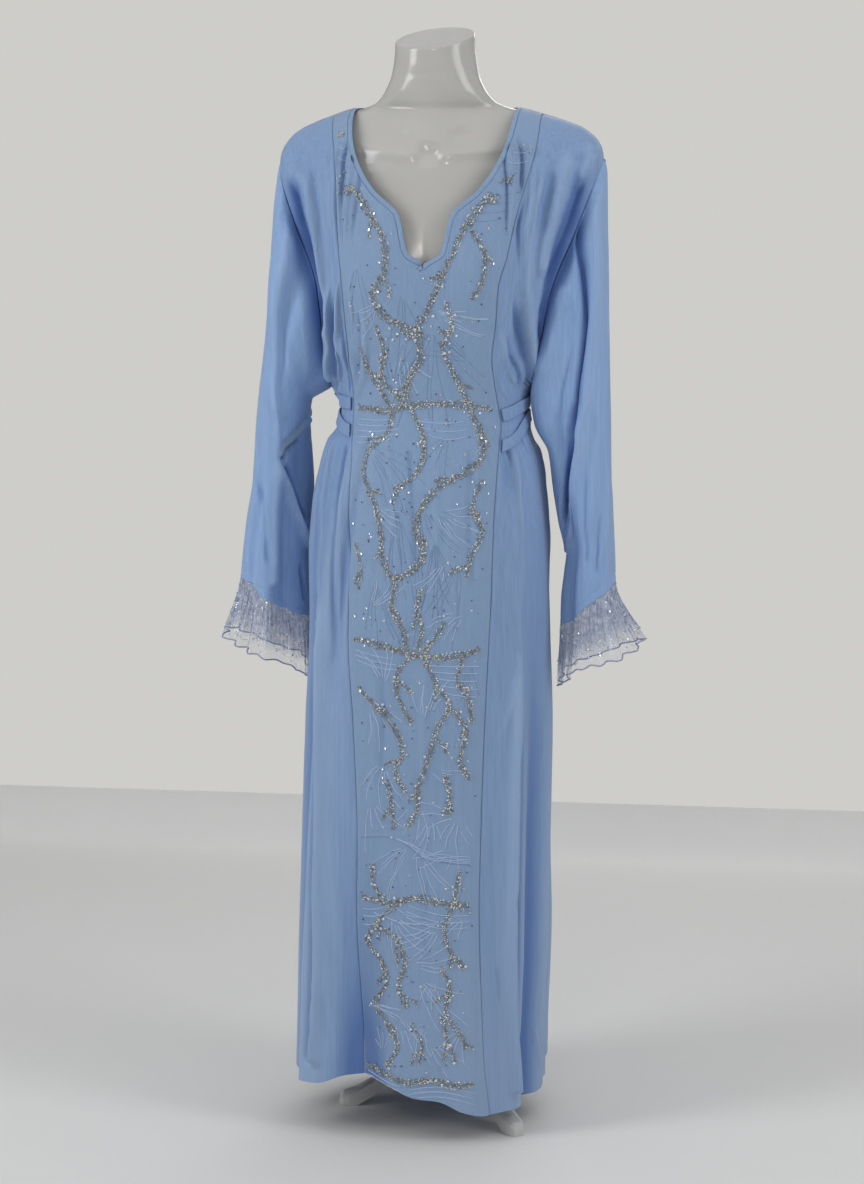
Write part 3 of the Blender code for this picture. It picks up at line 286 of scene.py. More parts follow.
def fold_out(angle, z):
    """How far the folds lift the body's cloth outward."""
    angle, z = np.broadcast_arrays(angle, z)
    degrees, out = np.degrees(angle), np.zeros(np.shape(angle))
    for row in BODY_FOLDS:
        f = dict(zip(FOLD_COLUMNS, row))
        place = {"z": (0.0, 0.70, 0.98), "angle": (f["hem_angle"], f["hip_angle"], f["waist_angle"])}
        height = {"t": (0.0, 0.45, 1.0), "out": (f["top_out"], f["mid_out"], f["end_out"])}
        down = (f["top_z"] - z) / (f["top_z"] - f["end_z"])
        offset = wrap(degrees - along(place, "angle", z))
        fade = smooth((f["top_z"] + FOLD_FADE - z) / FOLD_FADE) * (z >= f["end_z"])
        out = out + along(height, "out", down, "t") * fade * ridge(offset, f["left"], f["right"])
    for row in BLOUSE_FOLDS:
        f = dict(zip(BLOUSE_COLUMNS, row))
        up = (z - f["low_z"]) / (f["high_z"] - f["low_z"])
        offset = wrap(degrees - f["angle"] - (f["top_angle"] - f["angle"]) * up)
        out = out + f["out"] * smooth(up * 4) * smooth((1 - up) * 1.6) * ridge(offset, f["left"], f["right"])
    return out


def bust_out(x, z):
    """The bust: soft to the sides and above, hanging longer below."""
    spread = np.where(z > BUST_Z, 0.062, 0.085)
    return BUST_OUT * np.exp(-(((np.abs(x) - BUST_X) / 0.058) ** 2) - ((z - BUST_Z) / spread) ** 2)


def body_ring(z):
    """Middle, half width, and depth before and behind, of the body at a height."""
    return tuple(along(BODY_RINGS, c, z) for c in ("centre_x", "half_width", "front", "back"))


def angle_at(x, z):
    """The angle, on the front, whose point of the plain ring lies at x."""
    centre, half_width, front, back = body_ring(z)
    low = np.full(np.shape(x + z), -math.pi / 2)
    high = -low
    for _ in range(40):
        middle = (low + high) / 2
        short = centre + ring_radius(middle, half_width, front, back, ROUNDNESS) * np.sin(middle) < x
        low, high = np.where(short, middle, low), np.where(short, high, middle)
    return (low + high) / 2


def shoulder_top(ridge_x):
    """Height of the shoulder's top line."""
    return along(SHOULDER_LINE, "z", np.abs(ridge_x), "x")


def body_point(angle, z, ridge_x):
    """Points of the body's outside. Near the shoulder it rounds over to the top line, at ridge_x."""
    centre, half_width, front, back = body_ring(z)
    radius = ring_radius(angle, half_width, front, back, ROUNDNESS) + fold_out(angle, z)
    x = centre + radius * np.sin(angle)
    y = -radius * np.cos(angle)
    y = y - bust_out(x, z) * np.maximum(0.0, np.cos(angle))
    up = np.clip((z - shoulder_top(ridge_x) + SHOULDER_ROUND) / SHOULDER_ROUND, 0.0, 1.0)
    y = RIDGE_Y + (y - RIDGE_Y) * np.sqrt(1 - up * up)
    x = x + (ridge_x + TIP_SHIFT * smooth((np.abs(ridge_x) - NECK_HALF) / 0.08) - x) * up ** 3
    return np.stack(np.broadcast_arrays(x, y, z), axis=-1)


def upper_z(level, ridge_x):
    """Height of a level above the underarm, where levels follow the shoulder's top line."""
    up = (level - UNDERARM_Z) / (SHOULDER_Z - UNDERARM_Z)
    return UNDERARM_Z + (shoulder_top(ridge_x) - UNDERARM_Z) * up


def level_z(level, angle, ridge_x):
    """Height of a level at an angle: the lowest levels follow the hem, the highest the shoulder."""
    hem = along(HEM, "z", wrap(np.degrees(angle)), "angle")
    low = hem + (HEM_WARP_TOP - hem) * (level - HEM_LEVEL) / (HEM_WARP_TOP - HEM_LEVEL)
    high = upper_z(level, ridge_x)
    return np.where(level <= HEM_WARP_TOP, low, np.where(level <= UNDERARM_Z, level, high))


def armhole_point(side, half, up):
    """Points of the armhole seam; up is 0 at the underarm and 1 at the shoulder tip."""
    z = UNDERARM_Z + (ARMHOLE["z"][-1] - UNDERARM_Z) * np.asarray(up, float)
    x = side * along(ARMHOLE, "left_x" if side < 0 else "right_x", z) + TIP_SHIFT * smooth(up * 1.2)
    return np.stack(np.broadcast_arrays(x, along(ARMHOLE, half + "_y", z), z), axis=-1)


def seam_angle(side, level):
    """Angle of the centre panel's seam."""
    z = np.minimum(level, SHOULDER_Z)
    return angle_at(along(PANEL_SEAMS, "right_x" if side > 0 else "left_x", z), z)


def panel_point(side, across, level):
    """The centre front panel; across is 0 at its middle or its neckline, and 1 at its seam."""
    outer = seam_angle(side, level)
    ridge_x = side * (NECK_HALF + (PANEL_TOP_HALF - NECK_HALF) * across)
    z_in = np.where(level <= UNDERARM_Z, level, upper_z(level, ridge_x))
    z_low = np.minimum(level, SHOULDER_Z)
    seams_x = [along(PANEL_SEAMS, column, z_low) for column in ("right_x", "left_x")]
    middle = angle_at((seams_x[0] + seams_x[1]) / 2, z_low)
    inner = np.where(level > NOTCH_LEVEL, angle_at(side * along(NECKLINE, "x", z_in), z_in), middle)
    angle = inner + (outer - inner) * across
    return body_point(angle, level_z(level, angle, ridge_x), ridge_x)


def anchored(side, half, across, level, core):
    """core, drawn to the armhole seam as across nears 1."""
    up = np.maximum(0.0, (level - UNDERARM_Z) / (SHOULDER_Z - UNDERARM_Z))
    pull = armhole_point(side, half, up) - core(1.0, np.maximum(level, UNDERARM_Z))
    fade = np.where(level < UNDERARM_Z, smooth(1 - (UNDERARM_Z - level) / 0.025), 1.0)
    return core(across, level) + pull * (smooth((across - 0.45) / 0.55) * fade)[..., None]


def side_angle(side, half, level):
    """Angle of the side seam, or of the armhole seam above the underarm."""
    p = armhole_point(side, half, np.maximum(0.0, (level - UNDERARM_Z) / (SHOULDER_Z - UNDERARM_Z)))
    return np.where(level <= UNDERARM_Z, side * math.pi / 2, np.arctan2(p[..., 0], -p[..., 1]))


def side_point(side, across, level):
    """A side front panel; across is 0 at the centre panel's seam and 1 at the side seam or the armhole."""
    def core(s, lev):
        start, end = seam_angle(side, lev), side_angle(side, "front", lev)
        angle = start + (end - start) * s
        ridge_x = side * (PANEL_TOP_HALF + (SHOULDER_HALF - PANEL_TOP_HALF) * s)
        return body_point(angle, level_z(lev, angle, ridge_x), ridge_x)

    return anchored(side, "front", across, level, core)


def back_point(side, across, level):
    """Half the back; across is 0 at the centre back and 1 at the side seam or the armhole."""
    def core(s, lev):
        start, end = side * math.pi, side_angle(side, "back", lev)
        angle = start + (end - start) * s
        ridge_x = side * SHOULDER_HALF * s
        up = np.maximum(0.0, (lev - UNDERARM_Z) / (SHOULDER_Z - UNDERARM_Z))
        dip = SHOULDER_LINE["z"][0] - BACK_NECK_Z
        scoop = np.maximum(0.0, 1 - (np.abs(ridge_x) / NECK_HALF) ** 2)
        z = level_z(lev, angle, ridge_x) - dip * scoop * up ** 2
        return body_point(angle, z, ridge_x)

    return anchored(side, "back", across, level, core)


def sleeve_fold_out(folds, place, z):
    """How far the long folds lift a sleeve's cloth outward."""
    out = np.zeros(np.shape(place + z))
    for row in folds:
        f = dict(zip(SLEEVE_FOLD_COLUMNS, row))
        down = (f["top_z"] - z) / (f["top_z"] - f["end_z"])
        centre = f["top_place"] + (f["end_place"] - f["top_place"]) * np.clip(down, 0.0, 1.0)
        offset = (place - centre + 0.5) % 1 - 0.5
        out = out + f["out"] * smooth(down * 5) * (down < 1.2) * ridge(offset, f["reach"], f["reach"])
    return out


def sleeve_ring(side, place, z):
    """Points of the sleeve's outside, with its folds. Place runs underarm, front, outer edge, back."""
    table = RIGHT_SLEEVE if side > 0 else LEFT_SLEEVE
    inner, outer, front, back = (along(table, c, z) for c in ("inner", "outer", "front", "back"))
    turn = 2 * math.pi * place
    middle, half = (inner + outer) / 2, (outer - inner) / 2
    middle_y, depth = (front + back) / 2, (back - front) / 2
    out = sleeve_fold_out(RIGHT_SLEEVE_FOLDS if side > 0 else LEFT_SLEEVE_FOLDS, place, z)
    if side < 0:
        d = ELBOW_DENT
        offset = (place - d["place"] + 0.5) % 1 - 0.5
        upright = ridge(z - d["z"], d["half_height"], d["half_height"])
        out = out - d["depth"] * ridge(offset, d["reach"], d["reach"]) * upright
    x = middle - (half + out * half / 0.05) * np.cos(turn)
    y = middle_y - (depth + out) * np.sin(turn)
    return np.stack(np.broadcast_arrays(side * x, y, z), axis=-1)


def armhole_at(side, place):
    """The armhole seam by place round the sleeve."""
    up = (1 - np.cos(2 * math.pi * place)) / 2
    before, behind = armhole_point(side, "front", up), armhole_point(side, "back", up)
    return np.where((place <= 0.5)[..., None], before, behind)


def cuff_z(place):
    """Height of the cuff, which is higher on the outer side."""
    return CUFF_INNER_Z + (CUFF_OUTER_Z - CUFF_INNER_Z) * (1 - np.cos(2 * math.pi * place)) / 2


def sleeve_point(side, place, down):
    """The sleeve: down is 0 at the armhole seam and 1 at the cuff."""
    seam = armhole_at(side, place)
    seam_z = seam[..., 2]
    z = seam_z + (cuff_z(place) - seam_z) * down
    pull = seam - sleeve_ring(side, place, seam_z)
    low = 0.022 if side < 0 else 0.050
    reach = low + (0.165 - low) * (1 - np.cos(2 * math.pi * place)) / 2
    return sleeve_ring(side, place, z) + pull * (1 - smooth((seam_z - z) / reach))[..., None]


def normal_of(surface, u, v, du=0.004, dv=0.003):
    """Unit normals of surface(u, v) by differences."""
    a = surface(u + du, v) - surface(u - du, v)
    b = surface(u, v + dv) - surface(u, v - dv)
    n = np.cross(a, b)
    return n / np.maximum(np.linalg.norm(n, axis=-1, keepdims=True), 1e-12)


def outward(direction, away):
    """direction, turned where needed so that it leaves along away."""
    return np.where((direction * away).sum(-1, keepdims=True) >= 0, direction, -direction)


# Fine grids
HUB_LOW, HUB_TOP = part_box("hub")
SHIFT = Vector((
    (HUB_LOW.x + HUB_TOP.x) / 2 - STAND_CENTRE[0], (HUB_LOW.y + HUB_TOP.y) / 2 - STAND_CENTRE[1], 0,
))
SEAM_DIP, SEAM_REACH = 0.0011, 0.0016


def spaced(spans):
    """Values in rising order from (start, end, steps) spans that follow each other."""
    values = []
    for start, end, steps in spans:
        values += list(np.linspace(start, end, steps, endpoint=False))
    return values + [spans[-1][1]]


# Levels of the body's rows, close together at the hem.
HEM_LEVELS = [0.05, 0.0508, 0.052, 0.0545, 0.058, 0.063, 0.0685]
FINE_LEVELS = np.array(HEM_LEVELS + spaced((
    (0.075, 0.32, 44), (0.32, 0.96, 110), (0.96, 1.06, 26), (1.06, NOTCH_LEVEL, 36),
    (NOTCH_LEVEL, SHOULDER_Z, 62),
)))


EDGE_STEPS, EDGE_WIDTH = [0.0002, 0.0008, 0.0016, 0.0028, 0.0045, 0.0068], 0.0095


def across_values(width, steps):
    """Places across a panel of that width, close together near its seams."""
    inner = list(np.linspace(EDGE_WIDTH, width - EDGE_WIDTH, steps))
    return np.array(EDGE_STEPS + inner + [width - e for e in reversed(EDGE_STEPS)]) / width


def sampled(surface, across, levels):
    """Points of a surface as an array of rows by columns by three."""
    across, levels = np.meshgrid(across, levels)
    return surface(across, levels)


def polyline_offset(a, z, line):
    """Signed distance of points (a, z) to a polyline, and how far along it they lie, from 0 to 1."""
    line = np.array(line, float)
    lengths = np.linalg.norm(np.diff(line, axis=0), axis=1)
    total, run = lengths.sum(), 0.0
    best = np.full(a.shape, 1e9)
    signed, place = np.zeros(a.shape), np.zeros(a.shape)
    for (p, q), length in zip(zip(line, line[1:]), lengths):
        d = (q - p) / length
        t = (a - p[0]) * d[0] + (z - p[1]) * d[1]
        side = (z - p[1]) * d[0] - (a - p[0]) * d[1]
        t_in = np.clip(t, 0, length)
        distance = np.hypot(side, t - t_in)
        nearer = distance < best
        best = np.where(nearer, distance, best)
        signed = np.where(nearer, np.where(side < 0, -distance, distance), signed)
        place = np.where(nearer, (run + t_in) / total, place)
        run += length
    return signed, place


CREASE_GAIN = 2.0


def bell(x):
    """A soft hump, 1 at 0."""
    return np.exp(-(x ** 2))


def crease_out(a, z, creases, unit):
    """Height of the creases over a chart of metres round and up; unit turns their places to metres."""
    out = np.zeros(a.shape)
    for line, height, left, right, start_fade, end_fade in creases:
        signed, place = polyline_offset(a, z, [(x * unit, y) for x, y in line])
        reach = np.where(signed < 0, left, right) / 1000
        ends = smooth(place / max(start_fade, 1e-3)) * smooth((1 - place) / max(end_fade, 1e-3))
        out += CREASE_GAIN * height / 1000 * bell(signed / (0.6 * reach)) * ends
    return out


def mesh_object(name, points, faces):
    """A smooth-shaded piece from points and faces."""
    mesh = bpy.data.meshes.new(name)
    mesh.from_pydata([tuple(p) for p in points], [], [tuple(f) for f in faces])
    mesh.update()
    obj = bpy.data.objects.new(name, mesh)
    bpy.context.scene.collection.objects.link(obj)
    mesh.shade_smooth()
    return obj


def grid_faces(rows, columns, start=0, closed=False):
    """Faces of a grid of points numbered by rows."""
    faces = []
    for i in range(rows - 1):
        for j in range(columns if closed else columns - 1):
            k = (j + 1) % columns
            here, there = start + i * columns, start + (i + 1) * columns
            faces.append((here + j, here + k, there + k, there + j))
    return faces


def points_of(obj):
    co = np.empty(len(obj.data.vertices) * 3)
    obj.data.vertices.foreach_get("co", co)
    return co.reshape(-1, 3)


def normals_of(obj):
    n = np.empty(len(obj.data.vertices) * 3)
    obj.data.vertex_normals.foreach_get("vector", n)
    return n.reshape(-1, 3)


def place_points(obj, co):
    obj.data.vertices.foreach_set("co", co.ravel())
    obj.data.update()


def push(obj, out):
    """Moves each point of a piece along its normal."""
    place_points(obj, points_of(obj) + normals_of(obj) * out[:, None])


def draw_in(obj, depth):
    """Moves each point of a piece back by its own depth."""
    co = points_of(obj)
    co[:, 1] += depth
    place_points(obj, co)


def mend(obj, merge=0.0):
    """Joins points nearer than merge, turns all faces of a piece the same way and shades it smooth."""
    work = bmesh.new()
    work.from_mesh(obj.data)
    if merge:
        bmesh.ops.remove_doubles(work, verts=work.verts, dist=merge)
    bmesh.ops.recalc_face_normals(work, faces=work.faces)
    work.to_mesh(obj.data)
    work.free()
    obj.data.shade_smooth()


def soft_noise(points, size, stretch, seed):
    """Smooth noise from -1 to 1 at each point, drawn out upward by stretch."""
    return np.array([
        noise.noise(Vector((p[0] / size + seed, p[1] / size, p[2] / size / stretch))) for p in points
    ])


def uneven(points, *layers):
    """The cloth's own unevenness, from layers of (height, size, stretch, seed)."""
    return sum(height * soft_noise(points, size, stretch, seed) for height, size, stretch, seed in layers)


def number(obj, name, values):
    """Keeps a number for each point, for the material to read."""
    layer = obj.data.attributes.new(name, "FLOAT", "POINT")
    layer.data.foreach_set("value", np.asarray(values, np.float32))


def numbers(obj, name):
    values = np.empty(len(obj.data.vertices), np.float32)
    obj.data.attributes[name].data.foreach_get("value", values)
    return values


def thicken(obj, thickness):
    """Gives a sheet its thickness, inward."""
    m = obj.modifiers.new("thickness", "SOLIDIFY")
    m.thickness, m.offset = thickness, -1.0
    m.use_rim = True


def finish_piece(obj, material, slot, *nodes):
    """Moves a piece into the frame, and says what it rides on, what it is made of and what it replaces."""
    obj.data.transform(Matrix.Translation(SHIFT))
    obj.data.materials.append(material)
    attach(obj, "root")
    if nodes:
        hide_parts(*nodes)
    return obj


# Materials
PLAIN, BEADED, LACY = "plain_blue", "embroidered_blue", "lace"


def new_material(name):
    m = bpy.data.materials.new(name)
    m.use_nodes = True
    return m, m.node_tree, m.node_tree.nodes["Principled BSDF"]


def attribute(tree, name):
    """The number that each point of a piece keeps under that name."""
    n = tree.nodes.new("ShaderNodeAttribute")
    n.attribute_name = name
    return n.outputs["Fac"]


def mix_shader(tree, factor, first, second, surface):
    """Feeds surface with first, and with second where factor is 1."""
    either = tree.nodes.new("ShaderNodeMixShader")
    for socket, value in zip(either.inputs, (factor, first, second)):
        tree.links.new(value, socket)
    tree.links.new(either.outputs[0], surface)


def scaled_coordinates(tree, scale):
    """Places on a piece in metres, times scale."""
    coordinates = tree.nodes.new("ShaderNodeTexCoord")
    mapping = tree.nodes.new("ShaderNodeMapping")
    mapping.inputs["Scale"].default_value = scale
    tree.links.new(coordinates.outputs["Object"], mapping.inputs["Vector"])
    return mapping.outputs["Vector"]


def noise_node(tree, scale, detail=3.0, rough=0.55):
    n = tree.nodes.new("ShaderNodeTexNoise")
    n.inputs["Scale"].default_value = 1.0
    n.inputs["Detail"].default_value = detail
    n.inputs["Roughness"].default_value = rough
    tree.links.new(scaled_coordinates(tree, scale), n.inputs["Vector"])
    return n.outputs["Fac"]


def ramp(tree, value, stops):
    """Colours by value, from (value, colour) stops."""
    r = tree.nodes.new("ShaderNodeValToRGB")
    while len(r.color_ramp.elements) < len(stops):
        r.color_ramp.elements.new(0.5)
    for element, (place, colour) in zip(r.color_ramp.elements, stops):
        element.position = place
        element.color = (*colour, 1.0)
    tree.links.new(value, r.inputs["Fac"])
    return r.outputs["Color"]


def mix_colour(tree, factor, a, b):
    m = tree.nodes.new("ShaderNodeMix")
    m.data_type = "RGBA"
    for socket, value in ((m.inputs[0], factor), (m.inputs[6], a), (m.inputs[7], b)):
        if isinstance(value, (int, float)):
            socket.default_value = value
        elif isinstance(value, tuple):
            socket.default_value = (*value, 1.0)
        else:
            tree.links.new(value, socket)
    return m.outputs[2]


def maths(tree, operation, a, b=0.0):
    m = tree.nodes.new("ShaderNodeMath")
    m.operation = operation
    for socket, value in zip(m.inputs, (a, b)):
        if isinstance(value, (int, float)):
            socket.default_value = value
        else:
            tree.links.new(value, socket)
    return m.outputs[0]


def bump(tree, shader, height, strength, distance):
    """Fine relief on a material."""
    b = tree.nodes.new("ShaderNodeBump")
    b.inputs["Strength"].default_value = strength
    b.inputs["Distance"].default_value = distance
    tree.links.new(height, b.inputs["Height"])
    tree.links.new(b.outputs["Normal"], shader.inputs["Normal"])


def net_threads(tree, scale, width):
    """1 on the threads of a fine net and 0 in its holes."""
    cells = tree.nodes.new("ShaderNodeTexVoronoi")
    cells.feature = "DISTANCE_TO_EDGE"
    cells.inputs["Scale"].default_value = 1.0
    tree.links.new(scaled_coordinates(tree, (scale, scale, scale)), cells.inputs["Vector"])
    return maths(tree, "LESS_THAN", cells.outputs["Distance"], width)


def crepe(name, light, dark, rough=0.60, net=False):
    """Crepe: upright slub threads, a fine weave, soft clouds of colour, painted shade (a deeper blue) in the
    hollows and creases, and a painted highlight (a paler blue) on the crests.
    """
    m, tree, shader = new_material(name)
    slub = noise_node(tree, (300.0, 300.0, 9.0), 4.0, 0.65)
    thread = noise_node(tree, (1100.0, 1100.0, 40.0), 1.0)
    weft = noise_node(tree, (60.0, 60.0, 1300.0), 1.0)
    cloud = noise_node(tree, (9.0, 9.0, 3.0), 2.0)
    colour = ramp(tree, slub, ((0.30, dark), (0.70, light)))
    colour = mix_colour(tree, maths(tree, "MULTIPLY", cloud, 0.25), colour, tuple(c * 0.8 for c in dark))
    # Painted shade and highlight: the hollow number mixes in a deep blue where the cloth is drawn in or
    # creased, and a paler blue on the crests.
    hollow = attribute(tree, "hollow")
    deep = maths(tree, "MULTIPLY", maths(tree, "MAXIMUM", hollow, 0.0), PAINTED_SHADE_SHARE)
    colour = mix_colour(tree, deep, colour, PAINTED_SHADE_BLUE)
    raised = maths(tree, "MAXIMUM", maths(tree, "MULTIPLY", hollow, -1.0), 0.0)
    colour = mix_colour(tree, maths(tree, "MULTIPLY", raised, PAINTED_HIGHLIGHT_SHARE), colour, PAINTED_HIGHLIGHT_BLUE)
    height = maths(tree, "ADD", maths(tree, "MULTIPLY", slub, 0.8), maths(tree, "MULTIPLY", thread, 0.35))
    height = maths(tree, "ADD", height, maths(tree, "MULTIPLY", weft, 0.25))
    if net:
        threads = net_threads(tree, 620.0, 0.09)
        colour = mix_colour(tree, maths(tree, "MULTIPLY", threads, 0.22), colour, NET_COLOUR)
        height = maths(tree, "ADD", height, maths(tree, "MULTIPLY", threads, 0.5))
    tree.links.new(colour, shader.inputs["Base Color"])
    roughness = maths(tree, "ADD", maths(tree, "MULTIPLY", slub, 0.18), rough - 0.09)
    tree.links.new(roughness, shader.inputs["Roughness"])
    shader.inputs["Specular IOR Level"].default_value = 0.45
    shader.inputs["Sheen Weight"].default_value = 0.22
    shader.inputs["Sheen Roughness"].default_value = 0.5
    shader.inputs["Sheen Tint"].default_value = (0.95, 0.96, 1.0, 1.0)
    bump(tree, shader, height, 0.5, 0.0009)
    return m


def plain(name, colour, rough, coat=0.0, spread=1.0):
    """One colour with a faint mottle; spread is how strong the mottle is."""
    m, tree, shader = new_material(name)
    mottle = noise_node(tree, (14.0, 14.0, 14.0), 3.0)
    low = tuple(c * (1 - 0.07 * spread) for c in colour)
    high = tuple(c * (1 + 0.05 * spread) for c in colour)
    tree.links.new(mix_colour(tree, mottle, low, high), shader.inputs["Base Color"])
    grain = noise_node(tree, (160.0, 160.0, 160.0), 2.0)
    roughness = maths(tree, "ADD", maths(tree, "MULTIPLY", grain, 0.10), rough - 0.05)
    tree.links.new(roughness, shader.inputs["Roughness"])
    shader.inputs["Coat Weight"].default_value = coat
    shader.inputs["Coat Roughness"].default_value = 0.06
    bump(tree, shader, noise_node(tree, (34.0, 34.0, 34.0), 2.0), 0.02, 0.001)
    return m


# How strong the painted shade in the hollows and the painted highlight on the crests are, and their colours.
PAINTED_SHADE_SHARE, PAINTED_HIGHLIGHT_SHARE = 0.80, 0.60
NET_COLOUR = (0.16, 0.24, 0.40)
PAINTED_SHADE_BLUE = (0.060, 0.150, 0.430)
PAINTED_HIGHLIGHT_BLUE = (0.36, 0.49, 0.71)
BLUE = crepe("crepe_blue", (0.272, 0.408, 0.655), (0.198, 0.320, 0.552))
# Painted light: the sleeves wear a lighter copy of the body's crepe.
SLEEVE_PAINTED_LIGHT_BLUE = crepe("crepe_blue_sleeve_painted_light", (0.325, 0.490, 0.790), (0.240, 0.390, 0.680))
PANEL_BLUE = crepe("overlay_blue", (0.298, 0.440, 0.665), (0.250, 0.386, 0.602), 0.62, True)
WHITE_PLASTIC = plain("form_plastic", (0.55, 0.54, 0.515), 0.19, 0.25)
NECK_MATT = plain("form_neck_cap", (0.60, 0.59, 0.57), 0.55)
STAND_PAINT = plain("stand_paint", (0.60, 0.60, 0.585), 0.30, 0.2)


